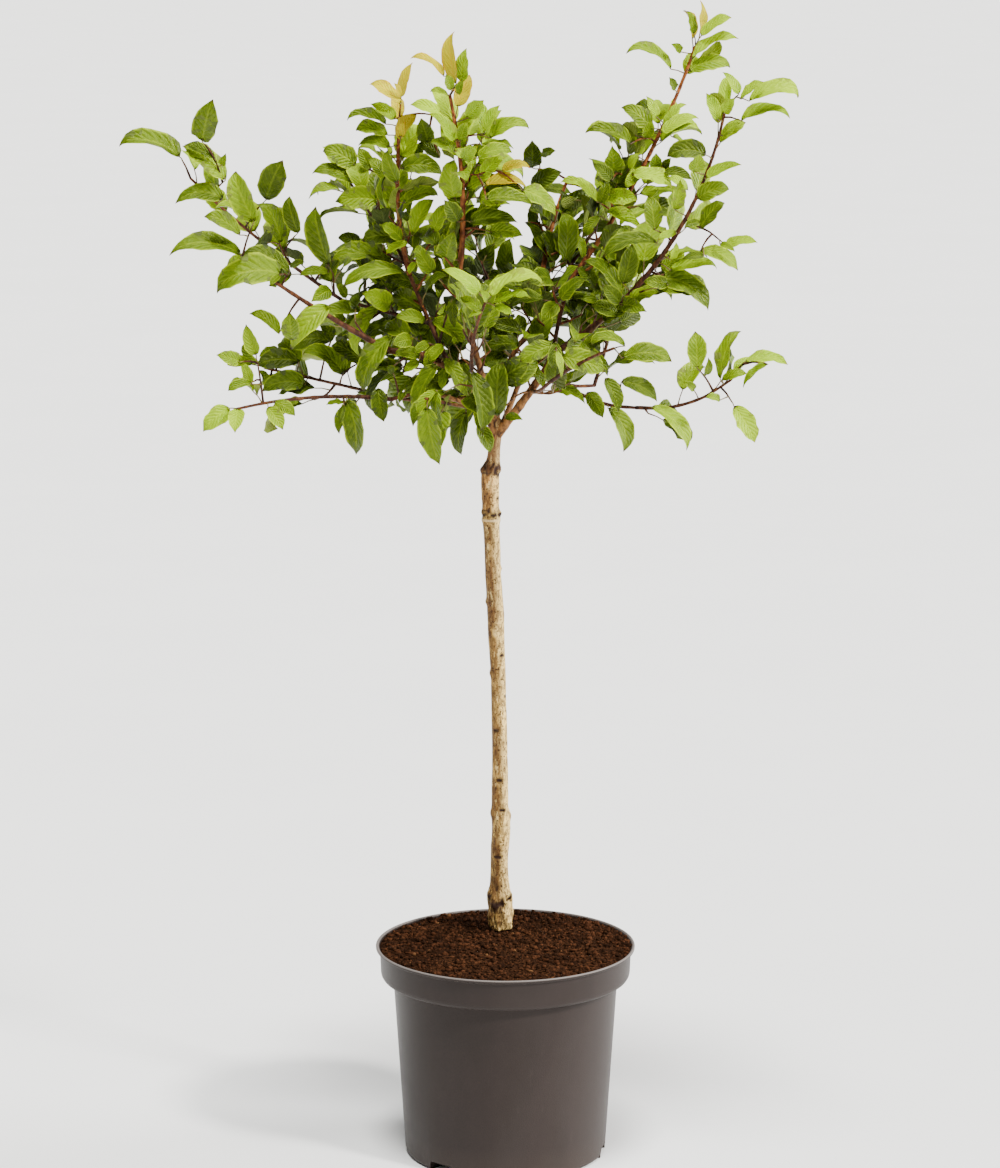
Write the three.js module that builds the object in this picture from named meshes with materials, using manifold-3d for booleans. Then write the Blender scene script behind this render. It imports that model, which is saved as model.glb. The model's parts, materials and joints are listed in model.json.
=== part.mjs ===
// Potted apricot tree: a young stem tree with a loose round crown, in a plastic nursery pot.
// Millimetres, +Z up. The origin is the centre of the pot's underside and the front is towards -Y.

import * as THREE from 'three';
import { mergeVertices } from 'three/addons/utils/BufferGeometryUtils.js';
import Module from 'manifold-3d';

const wasm = await Module();
wasm.setup();

// Driving dimensions of the pot
const POT_HEIGHT = 198;
const LIP_RADIUS = 120;
const LIP_DEPTH = 3;
const BAND_RADIUS = 116.5;
const BAND_HEIGHT = 31;
const BAND_ROUNDING = 4;
const BODY_TOP_RADIUS = 104;
const BASE_RADIUS = 93;
const BASE_ROUNDING = 4;
const WALL = 1.8;
const HUB_RADIUS = 28;
const CHANNEL_OUTER_RADIUS = 62;
const CHANNEL_HEIGHT = 4.5;
const CHANNEL_SLOPE = 3;
const NOTCH_COUNT = 6;
const NOTCH_WIDTH = 22;
const NOTCH_TOP = 0.7;
const NOTCH_START_DEG = -70;
const DRAIN_RADIUS = 5;
const DRAIN_CIRCLE_RADIUS = 46;
const POT_SEGMENTS = 32;
const DRAIN_SIDES = 8;

// Driving dimensions of the soil
const SOIL_DROP = 5;
const SOIL_MOUND = 9;
const SOIL_SHOULDER = { out: 0.78, up: 0.35 };
const SOIL_CROWN = { out: 0.5, up: 0.9 };
const TRUNK_SEAT_RADIUS = 22;

// The clear gap between neighbouring parts, and how far a cutting solid runs past what it cuts
const GAP = 0.3;
const CUT_OVER = 5;

// Driving dimensions of the trunk: where it stands, and its girth and lean from the foot to the pruned top
const TRUNK_BACK_AT_FOOT = 30;
const TRUNK_BACK_AT_TOP = 12;
const TRUNK_SIDES = 10;
const TRUNK_STEP = 50;
const FLARE_LOBES = 3;
const FLARE_LOBE_SIZE = 0.09;
const FLARE_HEIGHT = 60;
const TRUNK_STATIONS = [
  { height: 0, lean: -5, radius: 13.2 },
  { height: 18, lean: -4.8, radius: 11.9 },
  { height: 32, lean: -5.2, radius: 12 },
  { height: 43, lean: -5.5, radius: 8.9 },
  { height: 67, lean: -5.7, radius: 8.1 },
  { height: 100, lean: -3.9, radius: 8.8 },
  { height: 124, lean: -5.2, radius: 7.7 },
  { height: 182, lean: -5.2, radius: 7.2 },
  { height: 236, lean: -6.4, radius: 7 },
  { height: 296, lean: -8.9, radius: 7.6 },
  { height: 356, lean: -11.7, radius: 7.3 },
  { height: 387, lean: -13, radius: 7.4 },
  { height: 393, lean: -13.2, radius: 8.8 },
  { height: 401, lean: -13.5, radius: 7.8 },
  { height: 433, lean: -13.9, radius: 8.5 },
  { height: 453, lean: -10.5, radius: 5.8 },
  { height: 471, lean: -8.4, radius: 5 },
  { height: 487, lean: -8.2, radius: 4.7 },
];

// Turns a table's rows into records with named fields
function asRecords(fields, rows) {
  return rows.map((row) => Object.fromEntries(fields.map((field, i) => [field, row[i]])));
}

// Boughs, each one tapering limb. It springs from its parent at a fraction of the parent's length,
// with a bearing (0 is +X, 90 is the back) and a rise above level in degrees, and by its tip it has
// turned and lifted by the next two angles. The radius is that at its foot.
const BOUGHS = asRecords(['name', 'from', 'at', 'bearing', 'rise', 'turn', 'lift', 'length', 'radius'], [
  ['right', 'trunk', 0.965, -18, 50, -4, 7, 98, 4.2],
  ['left', 'trunk', 0.955, -136, 78, -38, -76, 145, 4],
  ['leader', 'trunk', 0.975, 88, 77, -73, -29, 97, 3.4],
  ['centre', 'trunk', 0.985, -124, 63, 9, 1, 152, 3.2],
  ['back_right', 'trunk', 0.96, 55, 48, 12, 3, 119, 3.4],
  ['back_left', 'trunk', 0.97, 128, 47, 15, -8, 132, 3.4],
  ['right_low', 'right', 0.62, -24, -25, 0, 32, 100, 2.4],
  ['right_top', 'right', 0.92, 68, 72, -30, -7, 73, 2.7],
  ['left_top', 'left', 0.58, 171, 64, -1, 4, 93, 2.8],
  ['left_far', 'left_top', 0.5, 153, 9, 0, 2, 92, 2.4],
  ['left_peak', 'left_top', 0.88, 116, 46, 9, -6, 61, 2],
  ['left_low', 'left', 0.1, -146, 48, -10, -62, 112, 2.8],
  ['left_inner', 'left', 0.33, 156, -17, -2, 25, 88, 2.3],
  ['front', 'centre', 0.06, -98, 36, -12, -6, 96, 2.6],
  ['front_low', 'left', 0.06, -118, 33, -7, -16, 81, 2.4],
  ['front_right', 'right', 0.12, -60, 29, -3, 3, 97, 2.6],
  ['back', 'back_left', 0.12, 90, 33, -12, 0, 105, 2.8],
  ['back_low_left', 'back_left', 0.2, 130, 12, 8, -4, 104, 2.6],
  ['back_low_right', 'back_right', 0.2, 42, 12, -5, -4, 108, 2.6],
]);

// Masses of foliage. Each grows on from the tip of the bough of the same name as one leading shoot.
// The leaf is the blade's length on that shoot, spur the length of its side twigs, and tip and
// tipRise are the blade and the rise of its last leaf.
const MASSES = asRecords([
  'name', 'bearing', 'rise', 'turn', 'lift', 'length', 'leaf', 'spur', 'tip', 'tipRise',
], [
  ['right', -13, 32, -24, 44, 275, 47, 44, 44, 8],
  ['left', -160, 29, 4, 7, 163, 50, 40, 44, -8],
  ['leader', 42, 48, -3, -1, 151, 48, 40, 38, 40],
  ['centre', -42, 81, -125, -2, 168, 46, 34, 34, 86],
  ['back_right', 84, 66, -40, -6, 156, 48, 42, 36, 50],
  ['back_left', 125, 45, 15, -10, 147, 50, 42, 38, 30],
  ['right_low', -13, -5, -3, 46, 93, 42, 30, 42, 12],
  ['right_top', 17, 51, 11, 17, 241, 45, 32, 26, 82],
  ['left_top', -182, 76, 154, 12, 134, 46, 36, 28, 74],
  ['left_far', 165, 31, -2, 11, 179, 50, 34, 52, 12],
  ['left_peak', 145, 36, -11, 14, 65, 46, 34, 36, 30],
  ['left_low', -160, 9, 1, -19, 144, 36, 24, 34, -22],
  ['left_inner', 161, 10, 0, -1, 127, 42, 34, 34, 5],
  ['front', -92, 39, 21, 1, 110, 46, 36, 32, 35],
  ['front_low', -113, 14, 1, -4, 87, 41, 28, 38, -6],
  ['front_right', -57, 28, 3, -10, 105, 50, 40, 42, 5],
  ['back', 96, 38, 11, -1, 155, 50, 42, 38, 30],
  ['back_low_left', 132, 7, 1, 0, 128, 50, 40, 40, -5],
  ['back_low_right', 48, 16, -1, 0, 128, 50, 40, 40, 5],
]);

// Habit of growth, the same for every mass
const NODE_STEP = 16;
const SHOOT_STEP = 30;
const BOUGH_STEP = 24;
const BOUGH_SIDES = 5;
const BOUGH_TAPER = 0.72;
const SHOOT_SIDES = 3;
const SHOOT_TIP_RADIUS = 1.3;
const SPUR_SIDES = 3;
const SPUR_RADIUS = 1.4;
const SPUR_TIP_RADIUS = 1.2;
const SPUR_STEPS = 2;
const SPUR_LEAVES = 3;
const SPUR_EVERY = 3;
const SPUR_OPENING_DEG = 52;
const SPUR_OFFSET_DEG = 70;
const SPUR_RISE = 0.5;
const SPUR_BEND = 0.3;
const SPUR_SHRINK = 0.5;
const SPUR_LAST = 0.75;
const SPUR_LEAF = 0.92;
const SPUR_TIP_LEAF = 0.85;
const SPUR_BARE_TIP = 0.4;
const LEAF_SPIRAL_DEG = 144;
const MASS_SPIRAL_DEG = 40;
const LEAF_OPENING_DEG = { base: 66, tip: 36 };
const LEAF_WIDTH = 0.54;
const LEAF_STALK = 14;
const LEAF_STALK_RADIUS = 0.8;
const LEAF_COLLAR = 3.5;
const LEAF_CLEAR_FROM = 5.6;
const LEAF_WIDEST = 0.42;
const LEAF_KEEL = 0.028;
const LEAF_ARCH = 0.07;
const LEAF_DROOP = 0.3;
const LEAF_SIZE_SPREAD = 0.16;
const LEAF_FACE_SPREAD = 0.9;
const LEAF_FACE_LEAN = 0.25;
const LEAF_YOUNG_FROM = 0.55;
const LEAF_YOUNG_SHRINK = 0.4;
const TIP_LEAF_SINK = 3;
const LEAF_TRIES = 5;
const LEAF_TRY_TURN_DEG = 31;
const SEED = 20261;
const MASS_SEED_STEP = 997;
const NODE_SEED_STEP = 31;
const LEAF_SEED_STEP = 7;
const SPUR_SEED_STEP = 5;
const SPUR_SPIRAL_STEP = 53;

const RAD = Math.PI / 180;
const UP = new THREE.Vector3(0, 0, 1);
const NEARLY_UPRIGHT = 0.97;
const LIGHT = new THREE.Vector3(0, -0.5, 0.6);

// A small seeded generator, so that the tree grows the same way each time
function seeded(seed) {
  let state = Math.imul(seed + 1, 2654435761) >>> 0;
  return () => {
    state = (Math.imul(state, 1664525) + 1013904223) >>> 0;
    return state / 4294967296;
  };
}

function scatter(random, size) {
  return new THREE.Vector3(random() - 0.5, random() - 0.5, random() - 0.5).multiplyScalar(size);
}

// Solids and geometries
function toSolid(geometry) {
  geometry.deleteAttribute('normal');
  geometry.deleteAttribute('uv');
  const merged = mergeVertices(geometry, 1e-4);
  const index = merged.index.array;
  const triVerts = [];
  for (let i = 0; i < index.length; i += 3) {
    const [a, b, c] = [index[i], index[i + 1], index[i + 2]];
    if (a !== b && b !== c && c !== a) triVerts.push(a, b, c);
  }
  return new wasm.Manifold(new wasm.Mesh({
    numProp: 3,
    vertProperties: Float32Array.from(merged.attributes.position.array),
    triVerts: Uint32Array.from(triVerts),
  }));
}

function toGeometry(solid) {
  const mesh = solid.getMesh();
  const geometry = new THREE.BufferGeometry();
  geometry.setAttribute('position', new THREE.BufferAttribute(mesh.vertProperties, 3));
  geometry.setIndex(new THREE.BufferAttribute(mesh.triVerts, 1));
  geometry.computeVertexNormals();
  return geometry;
}

// The one outer body of a fused solid: loose scraps are dropped and sealed hollows are filled
function largestBody(solid) {
  let largest = null;
  for (const body of solid.decompose()) {
    if (!largest || body.volume() > largest.volume()) largest = body;
  }
  return largest;
}

function join(solids) {
  return solids.reduce((whole, solid) => whole.add(solid));
}

// A turned solid from half of its outline, radius and height in turn, from axis to axis
function turned(outline, segments) {
  const points = outline.map(([radius, height]) => new THREE.Vector2(radius, height));
  return toSolid(new THREE.LatheGeometry(points, segments).rotateX(Math.PI / 2));
}

function box(length, width, height, x, y, z) {
  return new THREE.BoxGeometry(length, width, height).translate(x, y, z);
}

function around(count, startDeg, make) {
  return Array.from({ length: count }, (unused, i) => {
    return make().rotateZ((startDeg + (360 / count) * i) * RAD);
  });
}

// The pot: a thin turned shell with a banded lip and a raised ring channel under its floor
const bandBottom = POT_HEIGHT - BAND_HEIGHT;
const lipBottom = POT_HEIGHT - LIP_DEPTH;
const soilRim = POT_HEIGHT - SOIL_DROP;
const soilTop = soilRim + SOIL_MOUND;
const bodySlope = (BODY_TOP_RADIUS - BASE_RADIUS) / bandBottom;

function bodyRadius(height) {
  return BASE_RADIUS + bodySlope * height;
}

function floorOutline(rise) {
  return [
    [0, rise],
    [HUB_RADIUS, rise],
    [HUB_RADIUS + CHANNEL_SLOPE, CHANNEL_HEIGHT + rise],
    [CHANNEL_OUTER_RADIUS - CHANNEL_SLOPE, CHANNEL_HEIGHT + rise],
    [CHANNEL_OUTER_RADIUS, rise],
  ];
}

function outsideOutline() {
  return [
    [bodyRadius(0) - BASE_ROUNDING, 0],
    [bodyRadius(BASE_ROUNDING), BASE_ROUNDING],
    [BODY_TOP_RADIUS, bandBottom],
    [BAND_RADIUS - BAND_ROUNDING, bandBottom + 1],
    [BAND_RADIUS - 1, bandBottom + BAND_ROUNDING],
    [BAND_RADIUS, lipBottom - 1],
    [LIP_RADIUS, lipBottom],
    [LIP_RADIUS, POT_HEIGHT],
  ];
}

function insideOutline(gap) {
  const inset = WALL + gap;
  return [
    [BAND_RADIUS - inset, POT_HEIGHT],
    [BAND_RADIUS - 1 - inset, bandBottom + BAND_ROUNDING + WALL],
    [BODY_TOP_RADIUS - inset, bandBottom + 1],
    [bodyRadius(BASE_ROUNDING) - inset, BASE_ROUNDING + inset],
    [bodyRadius(0) - BASE_ROUNDING, inset],
  ];
}

// A roof over each radial channel joins the ring channel to a notch in the bottom edge
function channelRoof() {
  const start = CHANNEL_OUTER_RADIUS - CHANNEL_SLOPE * 2;
  const length = BASE_RADIUS + CUT_OVER - start;
  const height = CHANNEL_HEIGHT + WALL / 2;
  return box(length, NOTCH_WIDTH + 2 * WALL, height, start + length / 2, 0, WALL / 2 + height / 2);
}

function channelHollow() {
  const start = CHANNEL_OUTER_RADIUS - CHANNEL_SLOPE - 1;
  const length = BASE_RADIUS + 2 * CUT_OVER - start;
  const height = CHANNEL_HEIGHT + 2;
  const hollow = box(length, NOTCH_WIDTH, height, start + length / 2, 0, CHANNEL_HEIGHT - height / 2);
  const position = hollow.attributes.position;
  for (let i = 0; i < position.count; i += 1) {
    if (position.getZ(i) > 0) position.setY(i, position.getY(i) * NOTCH_TOP);
  }
  return hollow;
}

function drainHole() {
  return new THREE.CylinderGeometry(DRAIN_RADIUS, DRAIN_RADIUS, WALL + CUT_OVER, DRAIN_SIDES)
    .rotateX(Math.PI / 2)
    .translate(DRAIN_CIRCLE_RADIUS, 0, CHANNEL_HEIGHT + WALL / 2);
}

function makePot() {
  const shell = turned([
    ...floorOutline(0),
    ...outsideOutline(),
    ...insideOutline(0),
    ...floorOutline(WALL).reverse(),
  ], POT_SEGMENTS);
  const roofTop = CHANNEL_HEIGHT * 2;
  const withinWall = turned([
    [0, 0],
    [bodyRadius(0) - WALL / 2, 0],
    [bodyRadius(roofTop) - WALL / 2, roofTop],
    [0, roofTop],
  ], POT_SEGMENTS);
  const roofs = join(around(NOTCH_COUNT, NOTCH_START_DEG, channelRoof).map(toSolid)).intersect(withinWall);
  const hollows = join(around(NOTCH_COUNT, NOTCH_START_DEG, channelHollow).map(toSolid));
  const drains = join(around(NOTCH_COUNT, NOTCH_START_DEG, drainHole).map(toSolid));
  return largestBody(shell.add(roofs).subtract(hollows).subtract(drains));
}

// The soil rests on the floor's raised channels and fills the pot to just under its lip,
// mounded to a flat seat under the trunk
function makeSoil() {
  const bottom = CHANNEL_HEIGHT + WALL + GAP;
  const [, bandInside, bodyInside] = insideOutline(GAP);
  return turned([
    [0, bottom],
    [bodyRadius(bottom) - WALL - GAP, bottom],
    bodyInside,
    bandInside,
    [BAND_RADIUS - WALL - GAP - 1, soilRim],
    [BAND_RADIUS * SOIL_SHOULDER.out, soilRim + SOIL_MOUND * SOIL_SHOULDER.up],
    [BAND_RADIUS * SOIL_CROWN.out, soilRim + SOIL_MOUND * SOIL_CROWN.up],
    [TRUNK_BACK_AT_FOOT + TRUNK_SEAT_RADIUS, soilTop],
    [0, soilTop],
  ], POT_SEGMENTS);
}

// The trunk's lean and girth at a height, drawn smoothly through its stations
function stationValue(key, height) {
  const last = TRUNK_STATIONS.length - 1;
  let i = 0;
  while (i < last - 1 && height > TRUNK_STATIONS[i + 1].height) i += 1;
  const low = TRUNK_STATIONS[i];
  const high = TRUNK_STATIONS[i + 1];
  const t = THREE.MathUtils.smoothstep(height, low.height, high.height);
  return low[key] + (high[key] - low[key]) * t;
}

const trunkHeight = TRUNK_STATIONS[TRUNK_STATIONS.length - 1].height;
const trunkFoot = soilTop + GAP;

function trunkPoint(height) {
  const back = THREE.MathUtils.lerp(TRUNK_BACK_AT_FOOT, TRUNK_BACK_AT_TOP, height / trunkHeight);
  return new THREE.Vector3(stationValue('lean', height), back, trunkFoot + height);
}

function trunkPath() {
  const heights = [];
  TRUNK_STATIONS.forEach((station, i) => {
    const next = TRUNK_STATIONS[i + 1];
    heights.push(station.height);
    if (next && next.height - station.height > TRUNK_STEP) heights.push((station.height + next.height) / 2);
  });
  return heights;
}

// A direction from its bearing and its rise above level, in degrees
function compass(bearing, rise) {
  const level = Math.cos(rise * RAD);
  const [x, y] = [Math.cos(bearing * RAD), Math.sin(bearing * RAD)];
  return new THREE.Vector3(x * level, y * level, Math.sin(rise * RAD));
}

// The points of a limb that turns and lifts evenly from its start
function limbPath(start, limb, step) {
  const steps = Math.max(2, Math.round(limb.length / step));
  const points = [start.clone()];
  for (let i = 0; i < steps; i += 1) {
    const t = (i + 0.5) / steps;
    const heading = compass(limb.bearing + limb.turn * t, limb.rise + limb.lift * t);
    points.push(points[i].clone().addScaledVector(heading, limb.length / steps));
  }
  return points;
}

// A closed cylinder whose rings are moved onto the points of a path, each at its own radius
function limbGeometry(points, radiusAt, sides) {
  const rings = points.length - 1;
  const geometry = new THREE.CylinderGeometry(1, 1, 1, sides, rings);
  const position = geometry.attributes.position;
  const frames = [];
  let across = new THREE.Vector3(1, 0, 0);
  points.forEach((point, i) => {
    const before = points[Math.max(0, i - 1)];
    const after = points[Math.min(rings, i + 1)];
    const along = after.clone().sub(before).normalize();
    if (i === 0 && Math.abs(across.dot(along)) > 0.9) across.set(0, 1, 0);
    across = across.clone().addScaledVector(along, -across.dot(along)).normalize();
    frames.push({ across, over: across.clone().cross(along) });
  });
  for (let i = 0; i < position.count; i += 1) {
    const ring = Math.round((position.getY(i) + 0.5) * rings);
    const [x, z] = [position.getX(i), position.getZ(i)];
    const radius = radiusAt(ring, Math.atan2(z, x));
    const moved = points[ring].clone()
      .addScaledVector(frames[ring].across, x * radius)
      .addScaledVector(frames[ring].over, z * radius);
    position.setXYZ(i, moved.x, moved.y, moved.z);
  }
  return geometry;
}

function makeTrunk(extra) {
  const heights = trunkPath();
  const points = heights.map(trunkPoint);
  points[0].z -= extra;
  const radiusAt = (ring, angle) => {
    const height = heights[ring];
    const flare = Math.max(0, 1 - height / FLARE_HEIGHT);
    const lobes = 1 + FLARE_LOBE_SIZE * flare * Math.cos(FLARE_LOBES * angle);
    return stationValue('radius', height) * lobes + extra;
  };
  const geometry = limbGeometry(points, radiusAt, TRUNK_SIDES);
  const position = geometry.attributes.position;
  const footBand = TRUNK_STATIONS[1].height / 2;
  for (let i = 0; i < position.count; i += 1) {
    if (position.getZ(i) < trunkFoot + footBand) position.setZ(i, trunkFoot - extra);
  }
  return toSolid(geometry);
}

// The limbs so far, each with its path, its solid and a solid fatter by the gap
const limbs = {
  trunk: { points: trunkPath().map(trunkPoint), solid: makeTrunk(0), fat: makeTrunk(GAP) },
};

function pointAlong(points, fraction) {
  const place = fraction * (points.length - 1);
  const i = Math.min(points.length - 2, Math.floor(place));
  return points[i].clone().lerp(points[i + 1], place - i);
}

function boughStart(bough) {
  if (bough.from === 'trunk') return trunkPoint(bough.at * trunkHeight);
  return pointAlong(limbs[bough.from].points, bough.at);
}

// Boughs in the order of their table, each cut clear of the limbs grown before it
function growBoughs() {
  for (const bough of BOUGHS) {
    const points = limbPath(boughStart(bough), bough, BOUGH_STEP);
    const last = points.length - 1;
    const taper = (ring) => bough.radius * (1 - (1 - BOUGH_TAPER) * (ring / last));
    const plain = toSolid(limbGeometry(points, taper, BOUGH_SIDES));
    const fat = toSolid(limbGeometry(points, (ring) => taper(ring) + GAP, BOUGH_SIDES));
    const older = Object.values(limbs).map((limb) => limb.fat);
    const cut = older.reduce((rest, limb) => rest.subtract(limb), plain);
    limbs[bough.name] = { points, solid: largestBody(cut), fat, tipRadius: taper(last) };
  }
}

// One leaf: a three-sided stalk, rooted in a point at its stem's middle, then an arched blade with a
// keel. Its corners are the root, the stalk's section, the blade's edges and keel where it is widest,
// and the tip.
const LEAF_FACES = [
  0, 2, 1, 0, 3, 2, 0, 1, 3,
  1, 2, 5, 1, 5, 4, 2, 3, 6, 2, 6, 5, 3, 1, 4, 3, 4, 6,
  4, 5, 7, 5, 6, 7, 6, 4, 7,
];

function leafCorners(leaf, extra, start = 0) {
  const { root, along, normal, blade } = leaf;
  const across = normal.clone().cross(along);
  const length = LEAF_STALK + blade + extra;
  const half = (blade * LEAF_WIDTH) / 2 + extra;
  const stalk = LEAF_STALK_RADIUS + extra;
  const collar = start + LEAF_COLLAR;
  const widest = LEAF_STALK + blade * LEAF_WIDEST;
  const arch = LEAF_ARCH * length + extra;
  const keel = arch - length * LEAF_KEEL - 2 * extra;
  const place = (forward, side, lift) => root.clone()
    .addScaledVector(along, forward)
    .addScaledVector(across, side)
    .addScaledVector(normal, lift);
  return [
    place(start, 0, 0),
    place(collar, stalk, stalk * 0.5),
    place(collar, -stalk, stalk * 0.5),
    place(collar, 0, -stalk),
    place(widest, half, arch),
    place(widest, -half, arch),
    place(widest, 0, keel),
    place(length, 0, 0),
  ];
}

function leafSolid(leaf, extra, start) {
  const corners = leafCorners(leaf, extra, start);
  const geometry = new THREE.BufferGeometry().setFromPoints(corners);
  geometry.setIndex(LEAF_FACES);
  return toSolid(geometry);
}

// A shape is grown only where it stays clear of every limb and of the other masses
const grown = [];

function boundsOf(solid) {
  const { min, max } = solid.boundingBox();
  return new THREE.Box3(new THREE.Vector3(...min), new THREE.Vector3(...max));
}

function isClear(solid, bounds, owner) {
  return grown.every((other) => {
    if (other.owner === owner || !other.bounds.intersectsBox(bounds)) return true;
    return solid.intersect(other.solid).isEmpty();
  });
}

// Blades of one mass do not cross each other or the mass's own twigs
function crossesOwn(solid, bounds, shoot) {
  return [...shoot.leaves, ...shoot.twigs].some((own) => {
    return own.bounds.intersectsBox(bounds) && !solid.intersect(own.solid).isEmpty();
  });
}

// The leading shoot of a mass runs on from its bough's tip
function growShoot(mass) {
  const bough = limbs[mass.name];
  const tip = bough.points[bough.points.length - 1];
  const points = limbPath(tip, mass, SHOOT_STEP);
  const last = points.length - 1;
  const taper = (ring) => THREE.MathUtils.lerp(bough.tipRadius, SHOOT_TIP_RADIUS, ring / last);
  const plain = toSolid(limbGeometry(points, taper, SHOOT_SIDES));
  const solid = largestBody(Object.values(limbs).reduce((rest, limb) => rest.subtract(limb.fat), plain));
  return { ...mass, points, leaves: [], twigs: [{ solid, bounds: boundsOf(solid) }] };
}

// Where a leaf or a side twig springs from a stem, and which way the stem runs there
function nodeOn(points, fraction) {
  const i = Math.min(points.length - 2, Math.floor(fraction * (points.length - 1)));
  const heading = points[i + 1].clone().sub(points[i]).normalize();
  return { root: pointAlong(points, fraction), heading };
}

// A direction that leaves the stem at an opening angle, on the side given by the spiral angle
function sideways(heading, spiralDeg, openingDeg) {
  const [spiral, opening] = [spiralDeg * RAD, openingDeg * RAD];
  const upright = Math.abs(heading.z) > NEARLY_UPRIGHT;
  const level = upright ? new THREE.Vector3(1, 0, 0) : heading.clone().cross(UP).normalize();
  const over = level.clone().cross(heading);
  const radial = level.multiplyScalar(Math.cos(spiral)).addScaledVector(over, Math.sin(spiral));
  return heading.clone().multiplyScalar(Math.cos(opening)).addScaledVector(radial, Math.sin(opening));
}

// A leaf droops a little and turns its face to the light, each one somewhat differently
function poseLeaf(node, spiral, place, random) {
  const along = sideways(node.heading, spiral, place.opening);
  along.z -= place.droop * (0.5 + random());
  along.normalize();
  const outward = new THREE.Vector3(node.root.x, node.root.y, 0).normalize();
  const face = outward.add(node.heading).multiplyScalar(LEAF_FACE_LEAN).add(LIGHT);
  face.add(scatter(random, LEAF_FACE_SPREAD));
  const normal = face.addScaledVector(along, -face.dot(along)).normalize();
  const blade = place.blade * (1 + (random() - 0.5) * 2 * LEAF_SIZE_SPREAD);
  return { root: node.root, along, normal, blade };
}

// Tries a leaf at its own place on the spiral and then turned to either side of it
function growLeaf(shoot, node, place, random) {
  for (let turn = 0; turn < LEAF_TRIES; turn += 1) {
    const aside = Math.ceil(turn / 2) * (turn % 2 ? 1 : -1) * LEAF_TRY_TURN_DEG;
    const leaf = poseLeaf(node, place.spiral + aside, place, random);
    const fat = leafSolid(leaf, GAP);
    const bounds = boundsOf(fat);
    const blade = leafSolid(leaf, GAP, LEAF_CLEAR_FROM);
    if (!crossesOwn(blade, bounds, shoot) && isClear(fat, bounds, shoot.name)) {
      shoot.leaves.push({ solid: leafSolid(leaf, 0), bounds });
      return;
    }
  }
}

// The last leaf runs on from the tip of its twig, in line with it or at a rise of its own
function growTipLeaf(shoot, points, blade, random, rise) {
  const { root: end, heading } = nodeOn(points, 1);
  const root = end.addScaledVector(heading, -TIP_LEAF_SINK);
  const way = rise === undefined ? heading : compass(Math.atan2(heading.y, heading.x) / RAD, rise);
  growLeaf(shoot, { root, heading: way }, { spiral: 90, opening: 0, blade, droop: 0 }, random);
}

function leafPlace(spiral, t, blade) {
  const { base, tip } = LEAF_OPENING_DEG;
  const young = Math.max(0, (t - LEAF_YOUNG_FROM) / (1 - LEAF_YOUNG_FROM));
  return {
    spiral,
    opening: THREE.MathUtils.lerp(base, tip, t),
    blade: blade * (1 - LEAF_YOUNG_SHRINK * young),
    droop: LEAF_DROOP * (1 - young),
  };
}

// A side twig with a few leaves of its own and one at its tip
function growSpur(shoot, root, heading, length, seed) {
  const random = seeded(seed);
  const points = [root];
  const rising = heading.clone().addScaledVector(UP, SPUR_RISE).normalize();
  for (let i = 0; i < SPUR_STEPS; i += 1) {
    const way = heading.clone().lerp(rising, i / SPUR_STEPS).add(scatter(random, SPUR_BEND)).normalize();
    points.push(points[i].clone().addScaledVector(way, length / SPUR_STEPS));
  }
  const taper = (ring) => THREE.MathUtils.lerp(SPUR_RADIUS, SPUR_TIP_RADIUS, ring / SPUR_STEPS);
  const fat = toSolid(limbGeometry(points, (ring) => taper(ring) + GAP, SPUR_SIDES));
  const bounds = boundsOf(fat);
  if (!isClear(fat, bounds, shoot.name)) return;
  shoot.twigs.push({ solid: toSolid(limbGeometry(points, taper, SPUR_SIDES)), bounds });
  for (let i = 1; i <= SPUR_LEAVES; i += 1) {
    const along = i / (SPUR_LEAVES + SPUR_BARE_TIP);
    const spiral = seed * SPUR_SPIRAL_STEP + i * LEAF_SPIRAL_DEG;
    const place = leafPlace(spiral, along / 2, shoot.leaf * SPUR_LEAF);
    growLeaf(shoot, nodeOn(points, along), place, seeded(seed + i * LEAF_SEED_STEP));
  }
  growTipLeaf(shoot, points, shoot.leaf * SPUR_LEAF * SPUR_TIP_LEAF, seeded(seed + 1));
}

// A mass grows from the tip of its leading shoot inwards: a leaf at each node, a side twig at some
function growMass(shoot, index) {
  const nodes = Math.round(shoot.length / NODE_STEP);
  growTipLeaf(shoot, shoot.points, shoot.tip, seeded(SEED + index), shoot.tipRise);
  for (let i = nodes - 1; i >= 0; i -= 1) {
    const t = (i + 0.5) / nodes;
    const seed = SEED + index * MASS_SEED_STEP + i * NODE_SEED_STEP;
    const node = nodeOn(shoot.points, t);
    const place = leafPlace(i * LEAF_SPIRAL_DEG + index * MASS_SPIRAL_DEG, t, shoot.leaf);
    growLeaf(shoot, node, place, seeded(seed));
    if (i % SPUR_EVERY === 0 && t < SPUR_LAST) {
      const way = sideways(node.heading, place.spiral + SPUR_OFFSET_DEG, SPUR_OPENING_DEG);
      growSpur(shoot, node.root, way, shoot.spur * (1 - SPUR_SHRINK * t), seed + SPUR_SEED_STEP);
    }
  }
  return largestBody(join([...shoot.twigs, ...shoot.leaves].map((piece) => piece.solid)));
}

const group = new THREE.Group();

function addMesh(name, solid, color, roughness) {
  const material = new THREE.MeshStandardMaterial({ color, roughness, metalness: 0 });
  const mesh = new THREE.Mesh(toGeometry(solid), material);
  mesh.name = name;
  group.add(mesh);
}

growBoughs();
addMesh('pot', makePot(), 0x57504c, 0.5);
addMesh('soil', makeSoil(), 0x3a2116, 1);
addMesh('trunk', limbs.trunk.solid, 0xa98f6c, 0.8);
for (const { name } of BOUGHS) addMesh(`bough_${name}`, limbs[name].solid, 0x5f4030, 0.7);

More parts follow.
